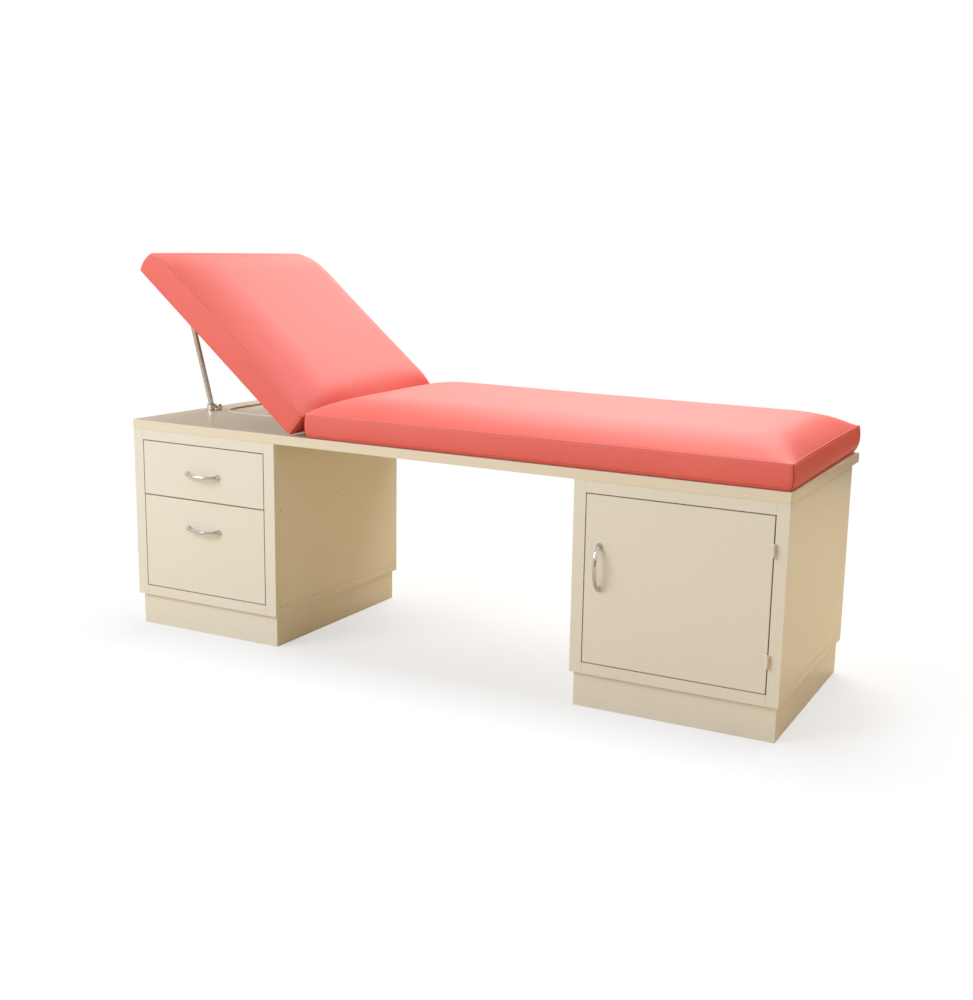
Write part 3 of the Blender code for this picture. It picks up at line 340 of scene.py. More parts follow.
class StageSettings(PropertyGroup):
    """Camera, lamps and floor."""

    camera_place: FloatVectorProperty(
        name="Camera", description="Where the camera stands",
        subtype="TRANSLATION", size=3, default=(1.6024, -2.87505, 1.0804),
    )
    camera_turn: FloatVectorProperty(
        name="Camera turn", description="Angles of the camera",
        subtype="EULER", size=3, default=(1.38271, -0.03190, 0.42424),
    )
    lens: FloatProperty(name="Lens", description="Focal length in millimetres", default=45.564)
    shift: FloatVectorProperty(
        name="Shift", description="Shift of the picture across and up", size=2, default=(-0.1099, -0.0184)
    )
    key: FloatProperty(
        name="Key lamp", description="Power of the soft lamp at the left", default=122.0, unit="POWER"
    )
    warm: FloatProperty(
        name="Warm lamp", description="Power of the lamp at the right", default=14.0, unit="POWER"
    )
    back: FloatProperty(
        name="Back lamp", description="Power of the lamp behind", default=54.0, unit="POWER"
    )
    top: FloatProperty(
        name="Top lamp", description="Power of the lamp overhead", default=98.0, unit="POWER"
    )
    room_bright: FloatProperty(name="Bright side", description="Room light from the left front", default=0.74)
    room_dim: FloatProperty(name="Dim side", description="Room light from the right", default=0.10)
    floor: FloatVectorProperty(
        name="Floor", description="Colour of the floor",
        subtype="COLOR", size=3, default=(0.70, 0.55, 0.31), min=0.0, max=1.0,
    )
    floor_shade: FloatProperty(
        name="Floor shade", description="How dark shadows are on the floor",
        default=0.46, min=0.0, max=1.0, subtype="FACTOR",
    )
    floor_fade: FloatProperty(
        name="Floor fade", description="How far from the table its shadow fades out",
        default=0.24, unit="LENGTH",
    )
    shade_shift: FloatVectorProperty(
        name="Shade shift", description="How far the shadow lies right of the table and behind it",
        size=2, default=(0.09, 0.12), unit="LENGTH",
    )


# Shared steps

def deselect():
    if bpy.context.mode != "OBJECT":
        bpy.ops.object.mode_set(mode="OBJECT")
    bpy.ops.object.select_all(action="DESELECT")


def only(piece):
    deselect()
    piece.select_set(True)
    bpy.context.view_layer.objects.active = piece


def pick(piece, kind, test):
    """Opens a piece in edit mode with only the vertices, edges or faces selected that pass a test."""
    only(piece)
    bpy.ops.object.mode_set(mode="EDIT")
    bpy.ops.mesh.select_mode(type=kind)
    bpy.ops.mesh.select_all(action="DESELECT")
    mesh = bmesh.from_edit_mesh(piece.data)
    items = {"VERT": mesh.verts, "EDGE": mesh.edges, "FACE": mesh.faces}[kind]
    for item in [item for item in items if test(item)]:
        item.select_set(True)
    mesh.select_flush_mode()
    bmesh.update_edit_mesh(piece.data)


def put_in_place(piece):
    only(piece)
    bpy.ops.object.transform_apply(location=True, rotation=True, scale=True)


def apply_modifiers(piece):
    only(piece)
    for modifier in list(piece.modifiers):
        bpy.ops.object.modifier_apply(modifier=modifier.name)


def finish_piece(piece, body, material):
    piece.data.materials.clear()
    piece.data.materials.append(material)
    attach(piece, body)


# Shading

class Field:
    """A number that changes over a surface. A sum written with it adds Math nodes."""

    def __init__(self, graph, socket):
        self.graph = graph
        self.socket = socket

    def __add__(self, other):
        return self.graph.maths("ADD", self, other)

    __radd__ = __add__

    def __sub__(self, other):
        return self.graph.maths("SUBTRACT", self, other)

    def __rsub__(self, other):
        return self.graph.maths("SUBTRACT", other, self)

    def __mul__(self, other):
        return self.graph.maths("MULTIPLY", self, other)

    __rmul__ = __mul__

    def __truediv__(self, other):
        return self.graph.maths("DIVIDE", self, other)

    def __rtruediv__(self, other):
        return self.graph.maths("DIVIDE", other, self)

    def __abs__(self):
        return self.graph.maths("ABSOLUTE", self)


class Graph:
    """The node tree of one material, or of the room's light."""

    def __init__(self, name, made=None):
        self.material = made or bpy.data.materials.new(name)
        self.material.use_nodes = True
        self.tree = self.material.node_tree
        self.tree.nodes.clear()

    def node(self, kind, settings=None, sockets=None, output=0):
        """Adds a node. Its settings come first, then the values or links of its sockets."""
        made = self.tree.nodes.new(kind)
        for key, value in (settings or {}).items():
            setattr(made, key, value)
        for key, value in (sockets or {}).items():
            socket = made.inputs[key]
            if isinstance(value, Field):
                self.tree.links.new(value.socket, socket)
            elif socket.type == "RGBA":
                socket.default_value = (*value, 1.0)
            else:
                socket.default_value = value
        return Field(self, made.outputs[output]) if made.outputs else made

    def maths(self, operation, first, second=0.0, clamp=False):
        settings = {"operation": operation, "use_clamp": clamp}
        return self.node("ShaderNodeMath", settings, {0: first, 1: second})

    def limit(self, field):
        """Keeps a number between 0 and 1."""
        return self.maths("ADD", field, 0.0, clamp=True)

    def place(self, stretch=None):
        """Object coordinates, scaled by axis where a pattern runs along a piece."""
        where = self.node("ShaderNodeTexCoord", output="Object")
        if stretch is None:
            return where
        return self.node("ShaderNodeMapping", None, {"Vector": where, "Scale": stretch})

    def along(self):
        """The three coordinates as numbers."""
        where = self.place()
        return [self.node("ShaderNodeSeparateXYZ", None, {0: where}, output=axis) for axis in range(3)]

    def noise(self, where, scale, detail=2.0, roughness=0.5, distortion=0.0):
        sockets = {
            "Vector": where,
            "Scale": scale,
            "Detail": detail,
            "Roughness": roughness,
            "Distortion": distortion,
        }
        return self.node("ShaderNodeTexNoise", None, sockets)

    def blend(self, share, first, second):
        return self.node("ShaderNodeMix", {"data_type": "RGBA"}, {0: share, 6: first, 7: second}, output=2)

    def bump(self, height, distance, under=None):
        sockets = {"Strength": 1.0, "Distance": distance, "Height": height}
        if under:
            sockets["Normal"] = under
        return self.node("ShaderNodeBump", None, sockets)

    def close(self, **sockets):
        """Ends the tree in a Principled shader. A socket's name is written with underscores."""
        named = {}
        for key, value in sockets.items():
            named[key.replace("_", " ").title().replace("Ior", "IOR")] = value
        shader = self.node("ShaderNodeBsdfPrincipled", None, named)
        self.node("ShaderNodeOutputMaterial", None, {"Surface": shader})
        return self.material


def darker(colour, share):
    return tuple(share * part for part in colour)


def vinyl(name, look):
    """Grained vinyl, darker where it is less worn and in its pores."""
    graph = Graph(name)
    where = graph.place()
    broad = graph.noise(where, 2.6, detail=3.0, roughness=0.55)
    smudge = graph.noise(where, 14.0, detail=4.0, roughness=0.6, distortion=0.4)
    cells = graph.node(
        "ShaderNodeTexVoronoi",
        {"feature": "SMOOTH_F1"},
        {"Vector": where, "Scale": 520.0, "Smoothness": 0.35},
    )
    fine = graph.noise(where, 1500.0)
    creases = graph.noise(where, 34.0, detail=5.0, roughness=0.62, distortion=0.9)
    worn = graph.limit((broad - 0.36) * 1.9) * 0.55 + graph.limit((smudge - 0.5) * 2.2) * 0.18
    pores = graph.limit(0.34 - cells) * 0.55
    colour = graph.blend(graph.limit(1.0 - worn), look.coral, look.deep_coral)
    colour = graph.blend(pores, colour, darker(look.deep_coral, 0.72))
    rough = 0.46 + broad * 0.12 + (1.0 - cells) * 0.05
    relief = graph.bump(creases, 0.0006)
    relief = graph.bump(cells + fine * 0.3, 0.00012, relief)
    return graph.close(base_color=colour, roughness=rough, normal=relief, specular_ior_level=0.4)


def sewing_thread(name, colour, shadow):
    graph = Graph(name)
    where = graph.place()
    strands = graph.node(
        "ShaderNodeTexWave",
        {"bands_direction": "DIAGONAL"},
        {"Vector": where, "Scale": 420.0, "Distortion": 1.5},
        output=1,
    )
    fuzz = graph.noise(where, 900.0)
    shade = graph.blend(graph.limit(strands * 0.6 + fuzz * 0.3), colour, shadow)
    return graph.close(base_color=shade, roughness=0.62 + fuzz * 0.2, normal=graph.bump(strands, 0.0001))


def line_at(graph, coordinate, value, width):
    """1 on a line across one coordinate, and 0 away from it."""
    return graph.limit(1.0 - abs(coordinate - value) / width)


def above(graph, coordinate, value, width):
    """0 below a value of one coordinate, and 1 from a width above it."""
    return graph.limit((coordinate - value) / width)


def outside(graph, x, y, low, high):
    """How far a place lies outside a rectangle in the plan."""
    past = []
    for along, start, end in zip((x, y), low, high):
        past.append(graph.maths("MAXIMUM", abs(along - (start + end) / 2) - (end - start) / 2, 0.0))
    return graph.maths("SQRT", past[0] * past[0] + past[1] * past[1])


def ring_at(graph, x, y, ring):
    """1 on the outline of a rectangle with round corners, and 0 away from it."""
    (low, high), corner, width = ring
    reach = outside(graph, x, y, [start + corner for start in low], [end - corner for end in high])
    return graph.limit(1.0 - abs(reach - corner) / width)


def enamel(name, look, lines=(), edges=(), marks=(), shaded_rims=(), ring=None, cream=None):
    """Sprayed and baked enamel.

    Lines are welded joints, edges are where it chips, and marks are rust spots. Painted shade lies along
    shaded_rims, which are straight, and along one ring, an outline with round corners.
    """
    graph = Graph(name)
    where = graph.place()
    x, y, z = graph.along()
    axes = {"x": x, "y": y, "z": z}
    clouds = graph.noise(where, 2.3, detail=3.0, roughness=0.55)
    runs = graph.noise(graph.place(stretch=(9.0, 9.0, 1.3)), 1.6, detail=4.0, roughness=0.6)
    specks = graph.noise(where, 210.0, detail=3.0, roughness=0.7)
    ragged = graph.noise(where, 85.0, detail=4.0, roughness=0.7)
    aged = graph.limit((clouds - 0.38) * 1.5) * 0.55 + graph.limit((runs - 0.52) * 2.0) * 0.30
    colour = graph.blend(graph.limit(aged), cream or look.cream, look.aged)
    # Darker towards the floor, in patches
    low = graph.limit(1.0 - z / 0.055) * graph.limit((runs - 0.30) * 1.6)
    dust = graph.limit((specks - 0.70) * 4.0) * 0.04
    dirt_and_shade = graph.limit(low * 0.16 + dust)
    scars = graph.limit((specks - 0.84) * 9.0) * 0.5
    for axis, value, width in edges:
        scars = scars + line_at(graph, axes[axis], value, width) * graph.limit((ragged - 0.70) * 14.0)
    for spot, size in marks:
        reach = graph.node("ShaderNodeVectorMath", {"operation": "DISTANCE"}, {0: where, 1: spot}, output=1)
        scars = scars + graph.limit((1.0 - reach / size + (ragged - 0.5) * 2.0) * 3.0) * 0.8
    # Painted shade in the gaps round a drawer front or the door
    for axis, value, width in shaded_rims:
        dirt_and_shade = dirt_and_shade + line_at(graph, axes[axis], value, width) * 0.7
    # Painted shade along the well's outline
    if ring:
        dirt_and_shade = dirt_and_shade + ring_at(graph, x, y, ring) * 0.6
    dirt_and_shade = graph.limit(dirt_and_shade)
    grooves = None
    for axis, value, width, limit_axis, start, side in lines:
        reach = above(graph, axes[limit_axis], start, LINE_END)
        line = line_at(graph, axes[axis], value, width) * (reach if side > 0 else 1.0 - reach)
        grooves = line if grooves is None else grooves + line
    peel = graph.noise(where, 260.0, roughness=0.4)
    waves = graph.noise(where, 5.0)
    relief = graph.bump(waves, 0.0004)
    relief = graph.bump(peel, 0.000012, relief)
    if grooves is not None:
        dirt_and_shade = graph.limit(dirt_and_shade + grooves * 0.38)
        relief = graph.bump(1.0 - graph.limit(grooves), 0.0004, relief)
    scars = graph.limit(scars)
    # Blends in the grime colour: real soiling and weld joints, and painted shade in the gaps and along the
    # well
    colour = graph.blend(dirt_and_shade, colour, look.grime_and_shade)
    colour = graph.blend(scars, colour, look.rust)
    relief = graph.bump(1.0 - scars, 0.0002, relief)
    rough = look.gloss + aged * 0.10 + dirt_and_shade * 0.35 + scars * 0.45
    return graph.close(base_color=colour, roughness=graph.limit(rough), normal=relief)


def plated(name, colour, rough, tarnish, stretch=None):
    """Plated metal, with dull clouds, pits and the lines of its drawing."""
    graph = Graph(name)
    where = graph.place()
    cloud = graph.noise(where, 26.0, detail=4.0, roughness=0.62)
    pits = graph.noise(where, 420.0, detail=3.0, roughness=0.75)
    drawn = graph.noise(graph.place(stretch=stretch), 160.0)
    dull = graph.limit((cloud - 0.46) * 2.6)
    pitted = graph.limit((pits - 0.63) * 9.0)
    shade = graph.blend(graph.limit(dull * 0.5 + pitted * 0.5), colour, tarnish)
    relief = graph.bump(drawn, 0.00003)
    relief = graph.bump(1.0 - pitted, 0.00006, relief)
    rough = graph.limit(rough + dull * 0.14 + pitted * 0.30)
    return graph.close(base_color=shade, metallic=1.0, roughness=rough, normal=relief)


def plywood(look):
    graph = Graph("birch_plywood")
    along_grain = graph.place(stretch=(3.0, 60.0, 60.0))
    along_pores = graph.place(stretch=(20.0, 420.0, 420.0))
    grain = graph.noise(along_grain, 2.2, detail=6.0, roughness=0.62, distortion=0.5)
    pores = graph.noise(along_pores, 2.0, detail=3.0, roughness=0.7)
    dark = graph.limit((grain - 0.40) * 2.4) * 0.7 + graph.limit((pores - 0.60) * 4.0) * 0.3
    colour = graph.blend(graph.limit(dark), look.wood, look.wood_dark)
    relief = graph.bump(1.0 - dark, 0.0002)
    return graph.close(base_color=colour, roughness=0.55 + dark * 0.2, normal=relief)


# Pads

def pad_blank(name, form, cell):
    """A box of even cells whose sides carry the rings."""
    deselect()
    size = form.half * 2
    height = form.height
    bpy.ops.mesh.primitive_grid_add(
        x_subdivisions=round(size.x / cell),
        y_subdivisions=round(size.y / cell),
        size=1.0,
        location=(*form.middle, form.foot),
    )
    pad = bpy.context.object
    pad.name = pad.data.name = name
    pad.scale = (size.x, size.y, 1.0)
    put_in_place(pad)
    pick(pad, "FACE", lambda face: True)
    bpy.ops.mesh.extrude_region_move(TRANSFORM_OT_translate={"value": (0.0, 0.0, height)})
    pick(pad, "EDGE", lambda edge: abs(edge.verts[0].co.z - edge.verts[1].co.z) > height / 2)
    bpy.ops.mesh.subdivide(number_cuts=len(RING_SHARES) - 2)
    pick(pad, "FACE", lambda face: True)
    bpy.ops.mesh.normals_make_consistent(inside=False)
    deselect()
    return pad


class PadForm:
    """The shape of a pad before it settles: its plan, its heights and how its sides stand."""

    def __init__(self, low, high, foot, height, **more):
        self.foot, self.height = foot, height
        self.crown, self.end_bow, self.roll = more["crown"], more["end_bow"], more["roll"]
        self.rear_lift = more["rear_lift"]
        self.end_lift = more.get("end_lift", (1.0, 1.0))
        self.corner_drop = more.get("corner_drop", (0.0, 0.0))
        self.bulge, self.corner, self.tuck = more["bulge"], more["corner"], more["tuck"]
        self.rear_tuck = more.get("rear_tuck", 0.0)
        self.draw = {**DRAW, **more.get("draw", {})}
        self.middle = (Vector(low) + Vector(high)) / 2
        self.half = (Vector(high) - Vector(low)) / 2

    def rise(self, s, t):
        """Height over the pad's foot at a place in its plan, where both run from -1 to 1."""
        end = int(s > 0)
        near_end = abs(s) ** self.roll[2 + end]
        lift = self.rear_lift * (1 + (self.end_lift[end] - 1) * near_end)
        seam = self.height - self.corner_drop[end] * near_end + lift * (1 + t) / 2
        dome = self.crown * (1 - abs(t) ** self.roll[int(t > 0)])
        arch = self.end_bow[end] * (1 - abs(t) ** 3)
        return seam + dome * (1 - near_end) + arch * near_end

    def plan(self, s, t, share):
        """Place in the plan at a share of the height. The sides draw in, and the corners are round."""
        end = self.draw["right" if s > 0 else "left"]
        offset = Vector((
            s * (self.half.x - end * share * (1 - t * t)),
            t * (self.half.y - self.draw["sides"] * share * (1 - s * s)),
        ))
        over_x = abs(offset.x) - self.half.x + self.corner
        over_y = abs(offset.y) - self.half.y + self.corner
        over = Vector((over_x, over_y))
        if over.x > 0 and over.y > 0:
            over *= max(over) / over.length
            offset.x = math.copysign(self.half.x - self.corner + over.x, offset.x)
            offset.y = math.copysign(self.half.y - self.corner + over.y, offset.y)
        return self.middle + offset

    def stand(self, end, side, s, t, share):
        """How far the cover stands out at a side or an end, with its lower edge drawn under."""
        swell = math.sin(math.pi * share)
        under = self.tuck * max(0.0, 1 - share / TUCK_SHARE)
        out = Vector((0.0, 0.0))
        if end:
            reach = self.bulge["right" if s > 0 else "left"] * swell - under
            if s > 0:
                rear = ((1 + t) / 2) ** REAR_TUCK_GROWTH
                reach -= self.rear_tuck * rear * max(0.0, 1 - share / REAR_TUCK_SHARE) ** 2
            out.x = reach * math.copysign(1.0, s)
        if side:
            reach = self.bulge["side"] * swell - under
            out.y = reach * math.copysign(1.0, t)
        return out


def shape_pad(pad, form):
    """Crowns the blank, swells its sides, and notes which vertices are sewn and which are held."""
    top_ring = len(RING_SHARES) - 1
    names = ("held", "seam", "corner", "stitch", "hem")
    groups = {name: pad.vertex_groups.new(name=name) for name in names}
    for vertex in pad.data.vertices:
        s = (vertex.co.x - form.middle.x) / form.half.x
        t = (vertex.co.y - form.middle.y) / form.half.y
        ring = round((vertex.co.z - form.foot) / form.height * top_ring)
        at_end, at_side = abs(s) > RIM_PLACE, abs(t) > RIM_PLACE
        rim = at_end or at_side
        share = RING_SHARES[ring] if rim else float(ring == top_ring)
        place = form.plan(s, t, share)
        if rim:
            place += form.stand(at_end, at_side, s, t, share)
        vertex.co = (*place, form.foot + share * form.rise(s, t))
        held = HELD_RINGS[ring] if rim else float(ring == 0)
        groups["held"].add([vertex.index], held, "REPLACE")
        sewn = {SEAM_RING: "seam", STITCH_RING: "stitch", HEM_RING: "hem"}.get(ring)
        if rim and sewn:
            groups[sewn].add([vertex.index], 1.0, "REPLACE")
        if at_end and at_side:
            groups["corner"].add([vertex.index], 1.0, "REPLACE")


def hollow_pad(pad, foot, wall, depth):
    """Opens the underside of a pad, so that its cover hangs down outside the rails."""

    def underneath(face):
        return face.normal.z < -0.9 and face.calc_center_median().z < foot + 0.001

    pick(pad, "FACE", underneath)
    bpy.ops.mesh.inset(thickness=wall, use_boundary=True, use_even_offset=True)
    bpy.ops.mesh.extrude_region_move(TRANSFORM_OT_translate={"value": (0.0, 0.0, depth)})
    deselect()
    below = {index for face in pad.data.polygons if face.normal.z < -0.9 for index in face.vertices}
    pad.vertex_groups["held"].add(sorted(below), 1.0, "REPLACE")


def settle(pad, look):
    """Fills a pad by cloth simulation and keeps each point within the cap."""
    start = [vertex.co.copy() for vertex in pad.data.vertices]
    only(pad)
    cloth = pad.modifiers.new("filling", "CLOTH")
    cloth.settings.quality = 6
    cloth.settings.mass = 0.25
    cloth.settings.tension_stiffness = cloth.settings.compression_stiffness = 30.0
    cloth.settings.shear_stiffness = 12.0
    cloth.settings.bending_stiffness = 1.5
    cloth.settings.tension_damping = cloth.settings.compression_damping = 12.0
    cloth.settings.use_pressure = True
    cloth.settings.uniform_pressure_force = look.pressure
    cloth.settings.vertex_group_mass = "held"
    cloth.settings.pin_stiffness = 1.0
    cloth.settings.effector_weights.gravity = 0.0
    cloth.collision_settings.use_collision = False
    cloth.point_cache.frame_start = 1
    cloth.point_cache.frame_end = look.settle_steps
    scene = bpy.context.scene
    for step in range(1, look.settle_steps + 1):
        scene.frame_set(step)
    bpy.ops.object.modifier_apply(modifier=cloth.name)
    scene.frame_set(1)
    for vertex, before in zip(pad.data.vertices, start):
        move = vertex.co - before
        if move.length > look.settle_cap:
            vertex.co = before + move * (look.settle_cap / move.length)


def members(pad, group, least):
    """The vertices that a group holds with more than a weight."""
    index = pad.vertex_groups[group].index
    return {
        vertex.index
        for vertex in pad.data.vertices
        if any(entry.group == index and entry.weight > least for entry in vertex.groups)
    }


def ease_top(pad, times):
    """Softens the top of a pad inside its seam."""
    held = members(pad, "held", 0.01)
    pick(pad, "VERT", lambda vertex: vertex.index not in held)
    bpy.ops.mesh.vertices_smooth(factor=0.5, repeat=times)
    deselect()


def smooth_pad(pad):
    finer = pad.modifiers.new("finer", "SUBSURF")
    finer.levels = finer.render_levels = 1
    apply_modifiers(pad)
    only(pad)
    bpy.ops.object.shade_smooth_by_angle(angle=SMOOTH_ANGLE)


def sewn_run(pad, group):
    """A curve along the sewn edges of a pad."""
    sewn = members(pad, group, 0.99)
    pick(pad, "EDGE", lambda edge: all(vertex.index in sewn for vertex in edge.verts))
    bpy.ops.mesh.duplicate()
    bpy.ops.mesh.separate(type="SELECTED")
    bpy.ops.object.mode_set(mode="OBJECT")
    run = next(piece for piece in bpy.context.selected_objects if piece != pad)
    only(run)
    bpy.ops.object.convert(target="CURVE")
    return bpy.context.object


def bead(run, name, radius):
    """A round bar along a curve."""
    run.data.bevel_depth = radius
    run.data.bevel_resolution = 1
    run.data.use_fill_caps = True
    only(run)
    bpy.ops.object.convert(target="MESH")
    made = bpy.context.object
    made.name = made.data.name = name
    bpy.ops.object.shade_smooth()
    return made


def stitches(pad, group, name, look):
    """A row of separate stitches, each a short bent length of thread."""
    run = sewn_run(pad, group)
    deselect()
    bpy.ops.mesh.primitive_cylinder_add(
        vertices=6, radius=look.stitch_radius, depth=look.stitch_length, rotation=(0.0, math.pi / 2, 0.0)
    )
    stitch = bpy.context.object
    stitch.name = stitch.data.name = name
    put_in_place(stitch)
    pick(stitch, "FACE", lambda face: len(face.verts) == 6)
    bpy.ops.mesh.inset(thickness=look.stitch_radius * 0.5)
    pick(stitch, "VERT", lambda vertex: vertex.co.yz.length > look.stitch_radius * 0.9)
    bpy.ops.transform.resize(value=(0.8, 1.0, 1.0), center_override=(0.0, 0.0, 0.0))
    deselect()
    row = stitch.modifiers.new("row", "ARRAY")
    row.fit_type = "FIT_CURVE"
    row.curve = run
    row.use_relative_offset = False
    row.use_constant_offset = True
    row.constant_offset_displace = (look.stitch_pitch, 0.0, 0.0)
    follow = stitch.modifiers.new("follow", "CURVE")
    follow.object = run
    apply_modifiers(stitch)
    only(run)
    bpy.ops.object.delete()
    only(stitch)
    bpy.ops.object.shade_smooth()
    return stitch


class EXAMTABLE_OT_seat(Operator):
    """Upholsters the seat: a filled vinyl pad with sewn seams"""

    bl_idname = "examtable.seat"
    bl_label = "Seat pad"

    def execute(self, context):
        look = context.scene.exam_pads
        low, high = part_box("seat_board")
        foot = low[2]
        form = PadForm(
            (low[0] - SEAT_OVERHANG, low[1]),
            (high[0], high[1]),
            foot,
            look.seat_seam,
            crown=look.seat_crown,
            end_bow=look.seat_end_bow,
            roll=look.seat_roll,
            rear_lift=look.seat_rear_lift,
            end_lift=(1.0, 1.5),
            bulge={"left": 0.002, "right": 0.0035, "side": 0.0025},
            corner=0.004,
            tuck=0.004,
            rear_tuck=0.010,
            draw={"left": 0.010},
        )
        pad = pad_blank("seat_cushion", form, look.cell)
        shape_pad(pad, form)
        settle(pad, look)
        ease_top(pad, look.easing)
        smooth_pad(pad)
        finish_piece(pad, "table", vinyl("coral_vinyl_seat", look))
        # The pale thread paints the highlight along the seams
        thread = sewing_thread("seat_thread", look.thread, look.deep_coral)
        # Real thread, whose dark colour paints the shade in the corner seams and along the hem
        shade_dark_thread = sewing_thread("hem_thread", look.shade_dark_thread, darker(look.shade_dark_thread, 0.7))
        sewn = [
            bead(sewn_run(pad, "seam"), "seat_seam", look.seam_radius),
            stitches(pad, "stitch", "seat_stitch_row", look),
        ]
        dark = [
            bead(sewn_run(pad, "corner"), "seat_corner_seams", look.seam_radius * CORNER_SEAM),
            stitches(pad, "hem", "seat_hem_row", look),
        ]
        for piece in (*sewn, *dark):
            finish_piece(piece, "table", shade_dark_thread if piece in dark else thread)
        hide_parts("seat_pad", "seat_board")
        return {"FINISHED"}


class EXAMTABLE_OT_backrest(Operator):
    """Upholsters the backrest: a filled vinyl pad whose cover hangs down outside the rails"""

    bl_idname = "examtable.backrest"
    bl_label = "Backrest pad"

    def execute(self, context):
        look = context.scene.exam_pads
        hinge = JOINTS["backrest_tilt"]
        pivot = Vector(hinge["pos_m"])
        tilt = math.radians(-hinge["range_deg"][0])
        front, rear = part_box("backrest_front_rail")[0][1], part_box("backrest_rear_rail")[1][1]
        near = pivot.x + look.back_inset
        foot = pivot.z - look.back_underside + HEM_LIFT
        height = look.back_seam - HEM_LIFT
        low = (near - look.back_length - look.cover, front - look.cover)
        high = (near + look.cover, rear + look.cover)
        form = PadForm(
            low,
            high,
            foot,
            height,
            crown=look.back_crown,
            end_bow=look.back_end_bow,
            roll=look.back_roll,
            rear_lift=look.back_rear_lift,
            end_lift=(0.0, 0.7),
            corner_drop=look.back_corner_drop,
            bulge={"left": 0.0055, "right": 0.001, "side": 0.0015},
            corner=0.003,
            tuck=0.0,
        )
        pad = pad_blank("backrest_cushion", form, look.cell)
        shape_pad(pad, form)
        hollow_pad(pad, foot, look.cover - WALL_SPARE, HOLLOW_DEPTH)
        settle(pad, look)
        ease_top(pad, look.easing)
        smooth_pad(pad)
        sewn = [
            bead(sewn_run(pad, "seam"), "backrest_seam", look.seam_radius),
            bead(sewn_run(pad, "corner"), "backrest_corner_seams", look.seam_radius * CORNER_SEAM),
            stitches(pad, "stitch", "backrest_stitch_row", look),
        ]
        self.notch(pad, near, foot)
        turn = Matrix.Translation(pivot) @ Matrix.Rotation(tilt, 4, "Y") @ Matrix.Translation(-pivot)
        cover = vinyl("coral_vinyl_backrest", look)
        # The pale thread paints the highlight along the seams
        thread = sewing_thread("backrest_thread", look.thread, look.deep_coral)
        for piece in (pad, *sewn):
            piece.matrix_world = turn @ piece.matrix_world
            put_in_place(piece)
            finish_piece(piece, "backrest", cover if piece == pad else thread)
        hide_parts("backrest_pad")
        return {"FINISHED"}

    def notch(self, pad, near, foot):
        """Leaves room in the cover for the two hinges."""
        for side in ("front", "rear"):
            low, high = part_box(f"backrest_{side}_hinge_bracket")
            middle = (near + NOTCH_PAST, (low[1] + high[1]) / 2, foot + NOTCH_OVER)
            deselect()
            bpy.ops.mesh.primitive_cube_add(size=1.0, location=middle)
            cutter = bpy.context.object
            cutter.scale = (NOTCH_DEPTH, high[1] - low[1] + NOTCH_SPARE, NOTCH_HEIGHT)
            put_in_place(cutter)
            cut = pad.modifiers.new("hinge room", "BOOLEAN")
            cut.operation, cut.solver, cut.object = "DIFFERENCE", "EXACT", cutter
            apply_modifiers(pad)
            only(cutter)
            bpy.ops.object.delete()


class EXAMTABLE_OT_enamel(Operator):
    """Gives the steel its cream enamel, with its welded joints and its chips"""

    bl_idname = "examtable.enamel"
    bl_label = "Cream enamel"

    def execute(self, context):
        look = context.scene.exam_enamel
        deck_low, deck_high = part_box("deck_top")
        finishes = {
            "deck": enamel(
                "deck_enamel",
                look,
                edges=(
                    ("z", deck_high[2], 0.0012), ("z", deck_low[2], 0.0015),
                    ("y", deck_low[1], 0.0010), ("x", deck_high[0], 0.0012),
                ),
                # The deck's browner cream is partly a painted reflection of the coral pads
                cream=look.deck_cream_and_reflection,
                ring=(WELL, WELL_CORNER, look.well_shade_line),
            ),
            "plain": enamel("pedestal_enamel", look),
        }
        for name in ("upper_drawer_front", "lower_drawer_front", "door_skin"):
            # Painted shade along the four edges of each front, where its gaps are
            shaded_rims = []
            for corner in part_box(name):
                shaded_rims += [("x", corner[0], RIM_SHADE), ("z", corner[2], RIM_SHADE)]
            finishes[name] = enamel(f"{name}_enamel", look, shaded_rims=shaded_rims)
        for side in ("left", "right"):
            low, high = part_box(f"{side}_face_frame")
            opening = FRAME_OPENINGS[side]
            lines = [("x", value, WELD_WIDTH, "z", OPENING_TOP, 1) for value in opening]
            lines += [("x", value, WELD_WIDTH, "z", OPENING_FOOT, -1) for value in opening]
            finishes[f"{side}_face_frame"] = enamel(
                f"{side}_frame_enamel",
                look,
                lines,
                edges=(("z", low[2], 0.0015), ("x", high[0], 0.0010)),
            )
            finishes[f"{side}_case"] = enamel(
                f"{side}_case_enamel",
                look,
                [("z", CASE_JOINT, CASE_JOINT_WIDTH, "y", CASE_FRONT, 1)],
                edges=(("z", low[2], 0.0018),),
                marks=RUST_MARKS if side == "left" else (),
            )
        for name, slot in SLOT_OF.items():
            if slot == "cream_enamel":
                kind = "deck" if name.startswith("deck_") else "plain"
                NODES[name].material_slots[0].material = finishes.get(name, finishes[kind])
        self.well_rim(look, deck_high[2], finishes["plain"])
        return {"FINISHED"}

    def well_rim(self, look, height, finish):
        """Rolls a bead round the well in the deck."""
        low, high = Vector(WELL[0]), Vector(WELL[1])
        deselect()
        bpy.ops.mesh.primitive_plane_add(size=1.0, location=(*(low + high) / 2, height))
        outline = bpy.context.object
        outline.scale = (*(high - low), 1.0)
        put_in_place(outline)
        pick(outline, "VERT", lambda vertex: True)
        bpy.ops.mesh.bevel(offset=WELL_CORNER, segments=12, affect="VERTICES")
        pick(outline, "FACE", lambda face: True)
        bpy.ops.mesh.delete(type="ONLY_FACE")
        only(outline)
        bpy.ops.object.convert(target="CURVE")
        rim = bead(bpy.context.object, "well_rim", look.well_bead)
        finish_piece(rim, "table", finish)


